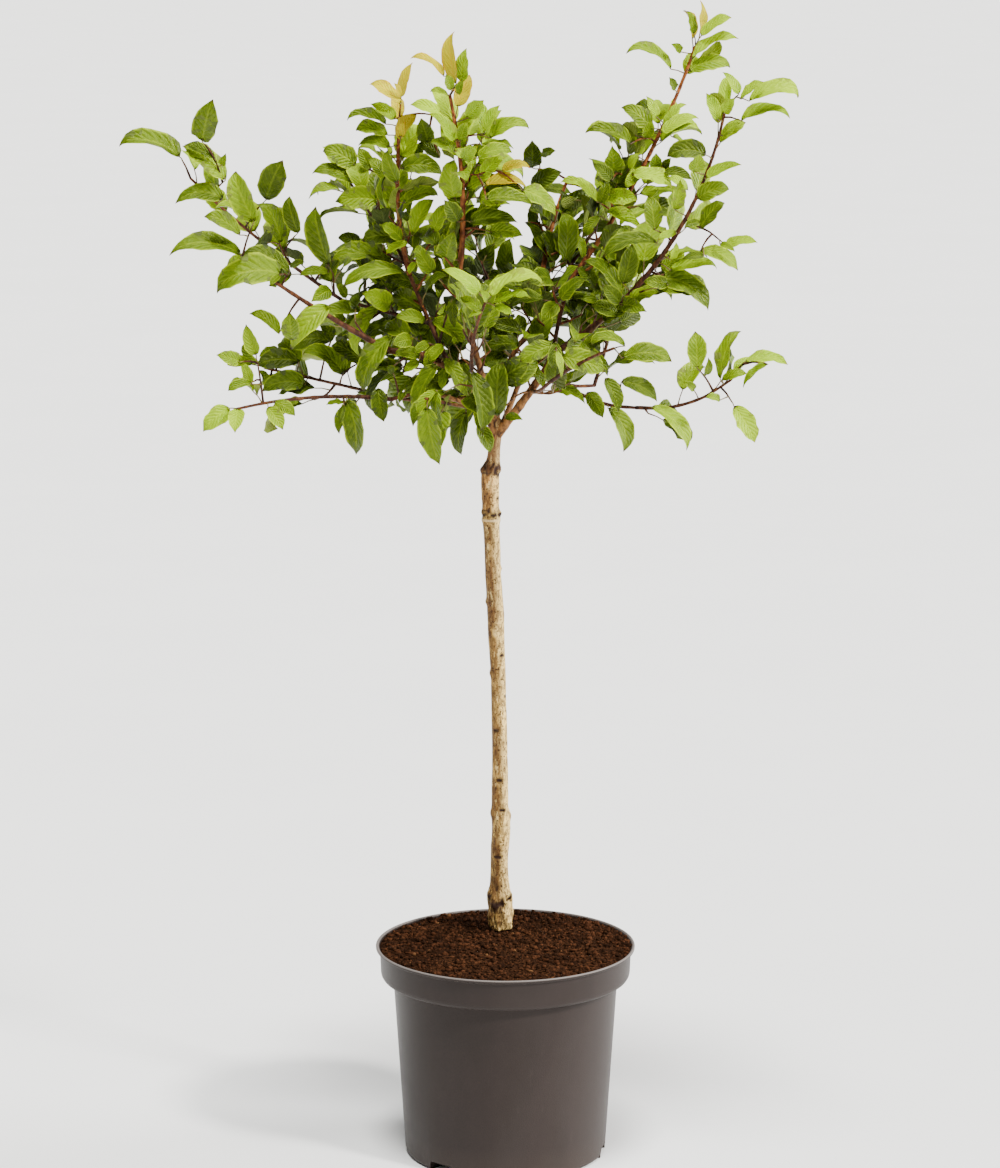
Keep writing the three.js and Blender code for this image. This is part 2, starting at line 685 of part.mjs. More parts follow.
for (const { solid } of Object.values(limbs)) grown.push({ owner: 'limb', solid, bounds: boundsOf(solid) });
const shoots = MASSES.map(growShoot);
for (const shoot of shoots) grown.push({ owner: shoot.name, ...shoot.twigs[0] });
shoots.forEach((shoot, index) => {
  const solid = growMass(shoot, index);
  for (const piece of [...shoot.leaves, ...shoot.twigs.slice(1)]) grown.push({ owner: shoot.name, ...piece });
  addMesh(`foliage_${shoot.name}`, solid, 0x4f7d26, 0.5);
});

export default group;
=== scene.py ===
# %% [markdown]
# # A potted apricot tree
# A young fruit tree is sold as a small stem tree. A bare trunk carries a loose round crown of leafy
# shoots, and a plastic nursery pot full of peat holds it up. The solid model already says where each
# limb stands. This notebook loads it, grows the same shoots with finer twigs and real leaves, and
# gives each surface its finish. Lengths are worked out in millimetres and made metres at the end.

# %% Load the solid model
import json
import math

import bpy
from mathutils import Matrix, Vector, noise
from mathutils.bvhtree import BVHTree

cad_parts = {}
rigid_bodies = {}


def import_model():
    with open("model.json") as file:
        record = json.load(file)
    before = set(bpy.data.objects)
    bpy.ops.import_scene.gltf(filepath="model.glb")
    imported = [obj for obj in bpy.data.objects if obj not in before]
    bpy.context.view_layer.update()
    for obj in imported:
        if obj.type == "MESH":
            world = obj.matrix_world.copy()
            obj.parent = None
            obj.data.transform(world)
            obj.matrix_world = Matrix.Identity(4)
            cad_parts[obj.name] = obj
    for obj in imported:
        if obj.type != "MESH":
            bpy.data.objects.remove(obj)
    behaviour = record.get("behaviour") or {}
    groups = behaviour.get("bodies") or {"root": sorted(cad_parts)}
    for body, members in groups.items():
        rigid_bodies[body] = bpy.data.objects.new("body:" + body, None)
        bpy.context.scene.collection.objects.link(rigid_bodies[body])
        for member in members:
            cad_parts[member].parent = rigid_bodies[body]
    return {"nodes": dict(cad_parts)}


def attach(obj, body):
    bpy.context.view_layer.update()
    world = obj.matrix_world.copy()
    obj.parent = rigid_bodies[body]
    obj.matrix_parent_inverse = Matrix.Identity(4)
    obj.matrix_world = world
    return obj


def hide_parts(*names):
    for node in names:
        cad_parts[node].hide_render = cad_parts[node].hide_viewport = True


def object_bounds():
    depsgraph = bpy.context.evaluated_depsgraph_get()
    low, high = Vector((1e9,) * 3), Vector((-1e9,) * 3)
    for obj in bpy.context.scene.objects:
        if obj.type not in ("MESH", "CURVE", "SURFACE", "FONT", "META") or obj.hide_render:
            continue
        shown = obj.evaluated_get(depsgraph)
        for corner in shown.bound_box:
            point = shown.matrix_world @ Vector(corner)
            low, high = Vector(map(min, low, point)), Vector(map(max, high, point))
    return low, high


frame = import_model()
cad_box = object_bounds()
MM = 0.001
foliage_nodes = sorted(name for name in frame["nodes"] if name.startswith("foliage"))
bough_nodes = sorted(name for name in frame["nodes"] if name.startswith("bough"))
print("solid model:", len(frame["nodes"]), "nodes,", len(foliage_nodes), "of them foliage")

# %% [markdown]
# ## Camera, floor and light
# The photograph was taken with a long lens from a little above the crown, so the pot's lip is seen
# as a flat ellipse. A long lens on a tall frame gives the same view. The floor is a wide pale disc,
# so that its edge is never near the tree. The light is that of a white studio: a key light from the
# upper right, a broad one from above that makes the leaves shine, a low one from the right that
# edges the pot, and a weak fill. Suns with a wide angle are used, because they light a floor evenly.

# %% Camera
SENSOR_HEIGHT = 36
LENS = 117.3
CAMERA_PLACE = (-0.005, -3.4, 1.192)
LOOKS_DOWN = 10.9

camera_data = bpy.data.cameras.new("camera")
camera_data.sensor_fit = "VERTICAL"
camera_data.sensor_height = SENSOR_HEIGHT
camera_data.lens = LENS
camera = bpy.data.objects.new("camera", camera_data)
camera.location = CAMERA_PLACE
camera.rotation_euler = (math.radians(90 - LOOKS_DOWN), 0, 0)
bpy.context.collection.objects.link(camera)
bpy.context.scene.camera = camera
print("camera at", list(camera.location), "lens", camera_data.lens)

# %% Floor and light
FLOOR_RADIUS = 60.0
WORLD_STRENGTH = 0.21
# name, azimuth, elevation, strength, width in degrees, colour
SUNS = (
    ("key_light", 52, 38, 5.0, 8, (1.0, 0.98, 0.94)),
    ("top_light", -10, 76, 5.6, 16, (1.0, 1.0, 0.97)),
    ("side_light", 96, 16, 4.6, 24, (1.0, 1.0, 1.0)),
    ("fill_light", -52, 18, 0.2, 50, (1.0, 1.0, 1.0)),
)


def sun(name, azimuth, elevation, strength, angle, color):
    """A soft sun that shines from an azimuth (0 from the front, 90 from the right) and an elevation."""
    data = bpy.data.lights.new(name, "SUN")
    data.energy = strength
    data.angle = math.radians(angle)
    data.color = color
    lamp = bpy.data.objects.new(name, data)
    lamp.rotation_euler = (math.radians(90 - elevation), 0, math.radians(azimuth))
    bpy.context.collection.objects.link(lamp)


for row in SUNS:
    sun(*row)

world = bpy.data.worlds.new("studio")
world.use_nodes = True
background = world.node_tree.nodes["Background"].inputs
background["Color"].default_value = (1, 1, 1, 1)
background["Strength"].default_value = WORLD_STRENGTH
bpy.context.scene.world = world

bpy.ops.object.select_all(action="DESELECT")
bpy.ops.mesh.primitive_circle_add(vertices=96, radius=FLOOR_RADIUS, fill_type="NGON")
floor = bpy.context.object
floor.name = "floor"

# %% [markdown]
# ## Tools for materials
# Every finish below is a Principled shader fed by masks. The masks that several finishes share are
# node groups, built once: the flecks that every surface has, coarse or fine, and the veins of a leaf.
# They read Object coordinates or the leaf's own UV map, so they stay put when the camera moves.


# %% Nodes by name
def add(tree, kind, inputs=(), **settings):
    """Adds a node, applies its settings, and gives each named input a value or a link."""
    node = tree.nodes.new("ShaderNode" + kind)
    for key, value in settings.items():
        setattr(node, key, value)
    for key, value in dict(inputs).items():
        if isinstance(value, bpy.types.NodeSocket):
            tree.links.new(value, node.inputs[key])
        else:
            node.inputs[key].default_value = value
    return node


def new_group(name, inputs, outputs):
    """An empty node group with its sockets, and its input and output nodes."""
    group = bpy.data.node_groups.new(name, "ShaderNodeTree")
    for label, kind, value in inputs:
        socket = group.interface.new_socket(label, in_out="INPUT", socket_type="NodeSocket" + kind)
        socket.default_value = value
    for label, kind in outputs:
        group.interface.new_socket(label, in_out="OUTPUT", socket_type="NodeSocket" + kind)
    return group, group.nodes.new("NodeGroupInput").outputs, group.nodes.new("NodeGroupOutput").inputs


def place_group(tree, group, **values):
    """Places a group in a material with its own values."""
    node = tree.nodes.new("ShaderNodeGroup")
    node.node_tree = group
    for label, value in values.items():
        node.inputs[label].default_value = value
    return node.outputs


def new_material(name, roughness, **sockets):
    """A material's node tree and its Principled shader, with the plain values set on the shader."""
    material = bpy.data.materials.new(name)
    material.use_nodes = True
    shader = material.node_tree.nodes["Principled BSDF"]
    shader.inputs["Roughness"].default_value = roughness
    for label, value in sockets.items():
        shader.inputs[label.replace("_", " ")].default_value = value
    return material, material.node_tree, shader


print("nodes are added by name")


# %% Steps between colours and masks
def blend(tree, first, second, mask):
    """The colour between two colours by a mask."""
    node = add(tree, "Mix", data_type="RGBA")
    for socket, value in ((node.inputs[6], first), (node.inputs[7], second), (node.inputs[0], mask)):
        if isinstance(value, bpy.types.NodeSocket):
            tree.links.new(value, socket)
        else:
            socket.default_value = (*value, 1) if isinstance(value, tuple) else value
    return node.outputs[2]


def reckon(tree, operation, *values):
    """One step of arithmetic on masks or plain values."""
    return add(tree, "Math", dict(enumerate(values)), operation=operation).outputs[0]


def scaled(tree, value, factor):
    """A mask made weaker or stronger."""
    return reckon(tree, "MULTIPLY", value, factor)


def ramp(tree, value, low, high, start=0.0, end=1.0):
    """A mask that goes from start to end while a value goes from low to high."""
    return add(tree, "MapRange", {0: value, 1: low, 2: high, 3: start, 4: end}).outputs[0]


def height_of(tree):
    """The height above the floor, in metres."""
    return add(tree, "SeparateXYZ", {0: add(tree, "TexCoord").outputs["Object"]}).outputs[2]


def layer_of(tree, name):
    """A number that was written on the mesh's corners."""
    return add(tree, "Attribute", attribute_name=name, attribute_type="GEOMETRY").outputs["Fac"]


def layered(tree, tone, coats):
    """Lays colours over a tone one after the other, each by its mask and strength."""
    for color, mask, strength in coats:
        tone = blend(tree, tone, color, scaled(tree, mask, strength))
    return tone


print("colours and masks can be blended")


# %% Relief, and a piece's place on the part
def relief(tree, shader, height, depth):
    """A bump of a given depth in metres on the shader's normal."""
    bump = add(tree, "Bump", {"Height": height, "Distance": depth, "Strength": 1.0})
    tree.links.new(bump.outputs[0], shader.inputs["Normal"])


def dress(piece, slot, *nodes):
    """Lets a finished piece ride on the part and stand for its solids. The slot is not used."""
    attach(piece, "root")
    if nodes:
        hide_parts(*nodes)
    print(piece.name, len(piece.data.polygons), "faces")


print("a finished piece can be dressed")

# %% The fleck mask
flecks, given, result = new_group(
    "flecks",
    [("Scale", "Float", 100.0), ("Stretch", "Float", 1.0), ("From", "Float", 0.5), ("To", "Float", 0.6)],
    [("Mask", "Float"), ("Height", "Float")],
)
coordinates = add(flecks, "TexCoord").outputs["Object"]
stretching = add(flecks, "CombineXYZ", {"X": 1.0, "Y": 1.0, "Z": given["Stretch"]}).outputs[0]
stretched = add(flecks, "Mapping", {"Vector": coordinates, "Scale": stretching}).outputs[0]
grain = add(
    flecks,
    "TexNoise",
    {"Vector": stretched, "Scale": given["Scale"], "Detail": 6.0, "Roughness": 0.6},
)
ranged = add(
    flecks,
    "MapRange",
    {"Value": grain.outputs[0], "From Min": given["From"], "From Max": given["To"]},
    interpolation_type="SMOOTHSTEP",
)
flecks.links.new(ranged.outputs[0], result["Mask"])
flecks.links.new(grain.outputs[0], result["Height"])
print("fleck group made")

# %% The leaf's veins
# The UV map runs across the blade in x, with the midrib at a half, and from base to tip in y.
veins, given, result = new_group(
    "leaf_veins",
    [("Pairs", "Float", 8.0), ("Slant", "Float", 0.32)],
    [("Vein", "Float"), ("Height", "Float"), ("Tip", "Float"), ("Rim", "Float")],
)
blade_map = add(veins, "SeparateXYZ", {0: add(veins, "UVMap", uv_map="blade").outputs[0]}).outputs
offset = reckon(veins, "SUBTRACT", blade_map[0], 0.5)
aside = scaled(veins, reckon(veins, "ABSOLUTE", offset), 2.0)
climbing = reckon(veins, "SUBTRACT", blade_map[1], scaled(veins, aside, given["Slant"]))
wave = reckon(veins, "COSINE", scaled(veins, scaled(veins, climbing, given["Pairs"]), math.tau))
side_vein = scaled(veins, ramp(veins, wave, 0.8, 1.0), ramp(veins, aside, 0.5, 1.0, 1.0, 0.0))
midrib = ramp(veins, aside, 0.03, 0.13, 1.0, 0.0)
both = reckon(veins, "MAXIMUM", scaled(veins, side_vein, 0.55), midrib)
masks = {
    "Vein": both,
    "Height": reckon(veins, "SUBTRACT", scaled(veins, wave, -0.5), both),
    "Tip": ramp(veins, blade_map[1], 0.90, 0.97),
    # the rim mask, which the tops use for a painted edge highlight
    "Rim": ramp(veins, aside, 0.80, 0.95),
}
for label, mask in masks.items():
    veins.links.new(mask, result[label])
print("vein group made")

# %% [markdown]
# ## The pot
# A nursery pot is moulded in one piece from thin polypropylene: a banded lip that stiffens it, a
# tapered body, and a floor raised in channels so that water can leave through notches in the bottom
# edge. It is a turned shape, so half of its outline is drawn once and spun round. The outline's
# corners are rounded first, because a moulded edge is never sharp and the rounding is what catches
# the light. Only the channels break the symmetry, and they are cut with boolean modifiers.

# %% The pot's sizes
POT_HEIGHT = 198.0
LIP_RADIUS = 120.0
BAND_RADIUS = 116.3
BAND_BOTTOM = 167.0
BODY_TOP_RADIUS = 104.0
BASE_RADIUS = 93.0
WALL = 1.8
HUB_RADIUS = 28.0
CHANNEL_RADIUS = 62.0
CHANNEL_HEIGHT = 9.0
NOTCH_WIDTH = 28.0
NOTCH_START = -70.0
NOTCH_COUNT = 6
BODY_SLOPE = (BODY_TOP_RADIUS - BASE_RADIUS) / BAND_BOTTOM


def rounded(outline, pieces=4):
    """Replaces each corner (radius, height, rounding) of an outline by a short arc."""
    points = []
    for i, (r, z, rounding) in enumerate(outline):
        corner = Vector((r, z))
        if rounding == 0 or i in (0, len(outline) - 1):
            points.append(corner)
            continue
        start = corner + (Vector(outline[i - 1][:2]) - corner).normalized() * rounding
        end = corner + (Vector(outline[i + 1][:2]) - corner).normalized() * rounding
        for k in range(pieces + 1):
            t = k / pieces
            points.append(start.lerp(corner, t).lerp(corner.lerp(end, t), t))
    return points


def pick(piece):
    """Makes a piece the one that is selected and active."""
    bpy.ops.object.select_all(action="DESELECT")
    bpy.context.view_layer.objects.active = piece
    piece.select_set(True)


def spun(name, outline, steps):
    """Spins an outline in millimetres round the Z axis into a closed mesh."""
    mesh = bpy.data.meshes.new(name)
    corners = [(r * MM, 0, z * MM) for r, z in outline]
    mesh.from_pydata(corners, [(i, i + 1) for i in range(len(corners) - 1)], [])
    piece = bpy.data.objects.new(name, mesh)
    bpy.context.collection.objects.link(piece)
    pick(piece)
    bpy.ops.object.mode_set(mode="EDIT")
    bpy.ops.mesh.select_all(action="SELECT")
    bpy.ops.mesh.spin(steps=steps, angle=math.tau, center=(0, 0, 0), axis=(0, 0, 1))
    bpy.ops.mesh.select_all(action="SELECT")
    bpy.ops.mesh.remove_doubles(threshold=0.02 * MM)
    bpy.ops.mesh.normals_make_consistent(inside=False)
    bpy.ops.object.mode_set(mode="OBJECT")
    return piece


def body_radius(height):
    """The radius of the tapered body outside, at a height."""
    return BASE_RADIUS + BODY_SLOPE * height


print("wall slope", round(math.degrees(math.atan(BODY_SLOPE)), 1), "degrees")

# %% Spin the pot
SLOPE = 3.0
POT_STEPS = 144
# Each corner: radius, height and rounding, from under the hub up the outside and down the inside
pot_outline = rounded([
    (0, 0, 0),
    (HUB_RADIUS, 0, 1),
    (HUB_RADIUS + SLOPE, CHANNEL_HEIGHT, 1),
    (CHANNEL_RADIUS - SLOPE, CHANNEL_HEIGHT, 1),
    (CHANNEL_RADIUS, 0, 1),
    (BASE_RADIUS, 0, 5),
    (body_radius(60), 60, 0),
    (body_radius(BAND_BOTTOM - 3), BAND_BOTTOM - 3, 0),
    (BODY_TOP_RADIUS, BAND_BOTTOM, 1.2),
    (BAND_RADIUS - 1, BAND_BOTTOM + 0.6, 6.0),
    (BAND_RADIUS, POT_HEIGHT - 4.2, 0.7),
    (LIP_RADIUS, POT_HEIGHT - 2.6, 0.9),
    (LIP_RADIUS, POT_HEIGHT, 1.1),
    (LIP_RADIUS - 1.9, POT_HEIGHT, 0.7),
    (BAND_RADIUS - WALL, POT_HEIGHT - 4.0, 1.0),
    (BAND_RADIUS - 1 - WALL, BAND_BOTTOM + 5, 2.4),
    (BODY_TOP_RADIUS - WALL, BAND_BOTTOM + 1, 1.2),
    (body_radius(6) - WALL, 6, 3),
    (CHANNEL_RADIUS, WALL, 1),
    (CHANNEL_RADIUS - SLOPE, CHANNEL_HEIGHT + WALL, 1),
    (HUB_RADIUS + SLOPE, CHANNEL_HEIGHT + WALL, 1),
    (HUB_RADIUS, WALL, 1),
    (0, WALL, 0),
])
pot = spun("pot_shell", pot_outline, POT_STEPS)
print("pot shell", len(pot.data.vertices), "corners")


# %% Cut the channels
def bar(name, shape, turn):
    """A bevelled bar that runs outwards from the axis, narrower at its top, turned to a bearing."""
    start, end = shape["reach"]
    bottom, top = shape["heights"]
    bpy.ops.object.select_all(action="DESELECT")
    bpy.ops.mesh.primitive_cube_add(size=1, location=(0, 0, 0))
    piece = bpy.context.object
    piece.name = name
    for corner in piece.data.vertices:
        across = shape["width"] * (shape["narrowing"] if corner.co.z > 0 else 1.0)
        x = start + (corner.co.x + 0.5) * (end - start)
        z = bottom + (corner.co.z + 0.5) * (top - bottom)
        corner.co = Vector((x, corner.co.y * across, z)) * MM
    bpy.ops.object.mode_set(mode="EDIT")
    bpy.ops.mesh.select_all(action="SELECT")
    bpy.ops.mesh.bevel(offset=shape["rounding"] * MM, segments=2, affect="EDGES")
    bpy.ops.object.mode_set(mode="OBJECT")
    piece.data.transform(Matrix.Rotation(math.radians(turn), 4, "Z"))
    return piece


def combine(piece, tools, operation):
    """Joins the tools to the piece, or cuts them out of it, and deletes them."""
    for tool in tools:
        modifier = piece.modifiers.new(operation, "BOOLEAN")
        modifier.operation = operation
        modifier.object = tool
        modifier.solver = "EXACT"
        bpy.context.view_layer.objects.active = piece
        bpy.ops.object.modifier_apply(modifier=modifier.name)
        bpy.data.objects.remove(tool)


ROOF = {
    "reach": (CHANNEL_RADIUS - 6, BASE_RADIUS - 1),
    "heights": (0.6, CHANNEL_HEIGHT + WALL),
    "width": NOTCH_WIDTH + 2 * WALL,
    "narrowing": 0.88,
    "rounding": 0.5,
}
HOLLOW = {
    "reach": (CHANNEL_RADIUS - 4, BASE_RADIUS + 10),
    "heights": (-2, CHANNEL_HEIGHT),
    "width": NOTCH_WIDTH,
    "narrowing": 0.84,
    "rounding": 0.6,
}
bearings = [NOTCH_START + i * 360 / NOTCH_COUNT for i in range(NOTCH_COUNT)]
combine(pot, [bar("roof", ROOF, turn) for turn in bearings], "UNION")
combine(pot, [bar("hollow", HOLLOW, turn) for turn in bearings], "DIFFERENCE")
print("pot with channels", len(pot.data.polygons), "faces")

# %% Smooth the pot
SHARPEST_SMOOTH = 32
pick(pot)
bpy.ops.object.shade_smooth_by_angle(angle=math.radians(SHARPEST_SMOOTH))
print("pot smoothed")

# %% [markdown]
# ## The pot's finish
# The plastic is a dark taupe grey with a satin skin. The mould leaves a very fine grain, handling
# leaves faint scuffs, and dust clings to the foot. The top of the lip is painted pale, a painted
# highlight where it catches the light. So the base colour is blended by two fleck masks and by two
# masks that read the height.
# The cloudy mask also makes the roughness vary, and the grain is a bump.

# %% Pot plastic
PLASTIC_DARK = (0.020, 0.0142, 0.0125)
PLASTIC_LIGHT = (0.027, 0.0200, 0.0180)
SCUFF = (0.060, 0.047, 0.042)
# Painted highlight for the top of the lip
LIP_HIGHLIGHT = (0.17, 0.150, 0.140)
FOOT_DUST = (0.050, 0.036, 0.028)

plastic, tree, shader = new_material("pot_plastic", 0.52, Specular_IOR_Level=0.12)
cloudy = place_group(tree, flecks, Scale=9.0, Stretch=0.5, From=0.35, To=0.7)
scuffs = place_group(tree, flecks, Scale=160.0, Stretch=0.25, From=0.62, To=0.72)
height = height_of(tree)
tone = layered(tree, blend(tree, PLASTIC_DARK, PLASTIC_LIGHT, cloudy["Mask"]), (
    (SCUFF, scuffs["Mask"], 0.08),
    # painted highlight: the top of the lip is painted pale
    (LIP_HIGHLIGHT, ramp(tree, height, (POT_HEIGHT - 1.4) * MM, (POT_HEIGHT - 0.6) * MM), 0.8),
    (FOOT_DUST, ramp(tree, height, 0.0, 30 * MM, 1.0, 0.0), 0.3),
))
tree.links.new(tone, shader.inputs["Base Color"])
tree.links.new(ramp(tree, cloudy["Height"], 0.3, 0.7, 0.38, 0.5), shader.inputs["Roughness"])
moulding = place_group(tree, flecks, Scale=900.0, Stretch=1.0, From=0.3, To=0.7)
relief(tree, shader, moulding["Height"], 0.00012)
pot.data.materials.clear()
pot.data.materials.append(plastic)
dress(pot, "pot_plastic", "pot")

# %% [markdown]
# ## The soil
# Peat potting mix is dark, damp and crumbly, with red-brown lumps and a few pale fibres. A turned
# disc gives its slight mound, its surface is then roughened point by point with noise, and several
# thousand crumbs lie on it. The crumbs of one colour are one joined mesh, each of them a lump of
# twenty faces, because one mesh of small shapes renders faster than thousands of objects.

# %% The soil's surface
SOIL_RIM = 196.4
SOIL_TOP = 202.0
SOIL_BOTTOM = CHANNEL_HEIGHT + WALL + 1.7
SOIL_RADIUS = LIP_RADIUS - 3.2
SOIL_RING_STEP = 2.4
SOIL_STEPS = 132
# Shares of the radius where the mound and the dip at the edge begin, and over which they fall
MOUND_FROM, MOUND_OVER = 0.45, 0.55
EDGE_FROM, EDGE_OVER = 0.96, 0.04
ROUGHNESS = 1.3
LUMPINESS = 0.9
EDGE_DIP = 0.7
TRUNK_FOOT = SOIL_TOP + 0.3


def soil_level(x, y):
    """The height of the soil at a place, in millimetres."""
    out = math.hypot(x, y) / SOIL_RADIUS
    mound = SOIL_RIM + (SOIL_TOP - SOIL_RIM) * (1 - max(0.0, (out - MOUND_FROM) / MOUND_OVER) ** 1.6)
    rough = noise.fractal(Vector((x, y, 3.1)) * 0.07, 0.8, 2.1, 5)
    lumps = noise.noise(Vector((x, y, 9.7)) * 0.32)
    edge = max(0.0, (out - EDGE_FROM) / EDGE_OVER)
    return mound + (ROUGHNESS * rough + LUMPINESS * lumps) * (1 - 0.5 * edge) - EDGE_DIP * edge


def smooth(mesh):
    """Shades all faces of a mesh smooth."""
    mesh.polygons.foreach_set("use_smooth", [True] * len(mesh.polygons))


ring_count = int(SOIL_RADIUS / SOIL_RING_STEP)
soil_outline = [Vector((SOIL_RADIUS * i / ring_count, SOIL_TOP)) for i in range(ring_count + 1)]
soil_outline += rounded([
    (BAND_RADIUS - WALL - 0.3, SOIL_RIM - 3.6, 0),
    (BAND_RADIUS - WALL - 1.4, BAND_BOTTOM + 5, 1),
    (BODY_TOP_RADIUS - WALL - 0.4, BAND_BOTTOM + 1, 1),
    (body_radius(SOIL_BOTTOM) - WALL - 0.6, SOIL_BOTTOM, 2),
    (0, SOIL_BOTTOM, 0),
], 2)
soil = spun("soil_bed", soil_outline, SOIL_STEPS)
for corner in soil.data.vertices:
    x, y, z = corner.co / MM
    if z > SOIL_TOP - 0.1:
        corner.co.z = soil_level(x, y) * MM
soil.data.update()
smooth(soil.data)
print("soil bed", len(soil.data.polygons), "faces")


# %% Seeded draws
def seeded(seed):
    """The solid model's own small generator, so that both grow the same way each time."""
    state = ((seed + 1) * 2654435761) & 0xFFFFFFFF

    def draw():
        """The next number between 0 and 1."""
        nonlocal state
        state = (state * 1664525 + 1013904223) & 0xFFFFFFFF
        return state / 4294967296

    return draw


def scatter(draw, size):
    """A small random vector."""
    return Vector((draw() - 0.5, draw() - 0.5, draw() - 0.5)) * size


def mesh_piece(name, corners, faces):
    """One smooth mesh from lists of corners in millimetres and faces."""
    mesh = bpy.data.meshes.new(name)
    mesh.from_pydata([tuple(corner * MM) for corner in corners], [], faces)
    smooth(mesh)
    piece = bpy.data.objects.new(name, mesh)
    bpy.context.collection.objects.link(piece)
    return piece


SEED = 20261
print("first draw", round(seeded(SEED)(), 4))

# %% Crumbs on the soil
CRUMBS = {"soil_crumbs_dark": 3800, "soil_crumbs_brown": 3400, "soil_crumbs_pale": 70}
CRUMB_SEED = 40
CRUMB_SMALLEST = 0.5
CRUMB_SPREAD = 2.3
CRUMB_MARGIN = 1.6
SUNK_BY = 0.25
bpy.ops.mesh.primitive_ico_sphere_add(subdivisions=1, radius=1)
ball = bpy.context.object
lump_corners = [corner.co.copy() for corner in ball.data.vertices]
lump_faces = [tuple(face.vertices) for face in ball.data.polygons]
bpy.data.objects.remove(ball)


def strew(name, count, seed):
    """Strews crumbs of a few millimetres over the soil, smaller ones more often."""
    draw = seeded(seed)
    corners = []
    faces = []
    for _ in range(count):
        out = (SOIL_RADIUS - CRUMB_MARGIN) * math.sqrt(draw())
        bearing = draw() * math.tau
        x, y = out * math.cos(bearing), out * math.sin(bearing)
        size = CRUMB_SMALLEST + CRUMB_SPREAD * draw() ** 4
        shape = Matrix.Rotation(draw() * math.tau, 3, "Z") @ Matrix.Rotation(draw() * math.tau, 3, "X")
        stretch = Vector((0.6 + draw(), 0.6 + 0.7 * draw(), 0.5 + 0.4 * draw())) * size
        middle = Vector((x, y, soil_level(x, y) + SUNK_BY * size))
        first = len(corners)
        for corner in lump_corners:
            corners.append(middle + shape @ (corner * (0.8 + 0.4 * draw()) * stretch))
        faces += [tuple(first + k for k in face) for face in lump_faces]
    return mesh_piece(name, corners, faces)


crumb_pieces = {
    name: strew(name, count, CRUMB_SEED + i) for i, (name, count) in enumerate(CRUMBS.items())
}
print("crumbs", sum(CRUMBS.values()))

# %% [markdown]
# Damp peat is almost black in its hollows and red-brown where it has dried. The bed and each kind of
# crumb get their own damp and dry colour, broken up by fine flecks, with hardly any gloss.


# %% Soil finishes
# The damp and the dry colour of the bed and of each kind of crumb
DAMP_PEAT = (0.009, 0.0034, 0.0014)
PEAT_TONES = {
    "peat_bed": (DAMP_PEAT, (0.052, 0.0200, 0.0078)),
    "soil_crumbs_dark": (DAMP_PEAT, (0.034, 0.0135, 0.0055)),
    "soil_crumbs_brown": ((0.026, 0.0092, 0.0038), (0.072, 0.0270, 0.0112)),
    "soil_crumbs_pale": ((0.070, 0.030, 0.012), (0.12, 0.056, 0.022)),
}


def soil_finish(name, scale):
    """Crumbly peat between a damp and a dry colour."""
    dark, light = PEAT_TONES[name]
    material, tree, shader = new_material(name, 0.95, Specular_IOR_Level=0.04)
    fine = place_group(tree, flecks, Scale=scale, Stretch=1.0, From=0.38, To=0.66)
    damp = place_group(tree, flecks, Scale=20.0, Stretch=1.0, From=0.42, To=0.58)
    tone = blend(tree, dark, light, fine["Mask"])
    tone = blend(tree, tone, dark, scaled(tree, damp["Mask"], 0.6))
    tree.links.new(tone, shader.inputs["Base Color"])
    relief(tree, shader, fine["Height"], 0.0012)
    return material


soil.data.materials.append(soil_finish("peat_bed", 420.0))
dress(soil, "soil", "soil")
for name, piece in crumb_pieces.items():
    piece.data.materials.append(soil_finish(name, 300.0))
    dress(piece, "soil")

# %% [markdown]
# ## The trunk
# The trunk is a slim stem with a knobbly flare where it was once grafted, a few healed knots and an
# old ring scar near the top. It starts as a ring of corners at the foot, which is extruded upwards
# in short steps, each moved and scaled to the stem's lean and radius at its height. A subdivision
# modifier then makes it fine enough to carve: the bark's relief, the knots and the scar are moves of
# its corners straight out from the stem's axis.

# %% The trunk's stations
# Height above the foot, lean to the right, radius
TRUNK_STATIONS = [
    (0, -5, 10.6), (8, -4.9, 10.4), (20, -4.6, 11.4), (32, -5.2, 11.6), (43, -5.5, 8.9),
    (67, -5.7, 8.1), (100, -3.9, 8.8), (124, -5.2, 7.7), (182, -5.2, 7.2), (236, -6.4, 7),
    (296, -8.9, 7.6), (356, -11.7, 7.3), (387, -13, 7.4), (393, -13.2, 8.8), (401, -13.5, 7.8),
    (433, -13.9, 8.5), (453, -10.5, 5.8), (471, -8.4, 5), (487, -8.2, 4.7),
]
TRUNK_HEIGHT = TRUNK_STATIONS[-1][0]
# How far behind the pot's axis the trunk stands at its foot and at its top
TRUNK_BACK = (30.0, 12.0)


def station_value(which, height):
    """Lean (1) or radius (2) at a height, drawn smoothly through the stations."""
    i = 0
    while i < len(TRUNK_STATIONS) - 2 and height > TRUNK_STATIONS[i + 1][0]:
        i += 1
    low, high = TRUNK_STATIONS[i], TRUNK_STATIONS[i + 1]
    t = min(1.0, max(0.0, (height - low[0]) / (high[0] - low[0])))
    return low[which] + (high[which] - low[which]) * t * t * (3 - 2 * t)


def trunk_point(height):
    """The middle of the trunk at a height above its foot."""
    t = height / TRUNK_HEIGHT
    back = TRUNK_BACK[0] + (TRUNK_BACK[1] - TRUNK_BACK[0]) * t
    return Vector((station_value(1, height), back, TRUNK_FOOT + height))


print("trunk top at", [round(c) for c in trunk_point(TRUNK_HEIGHT)])

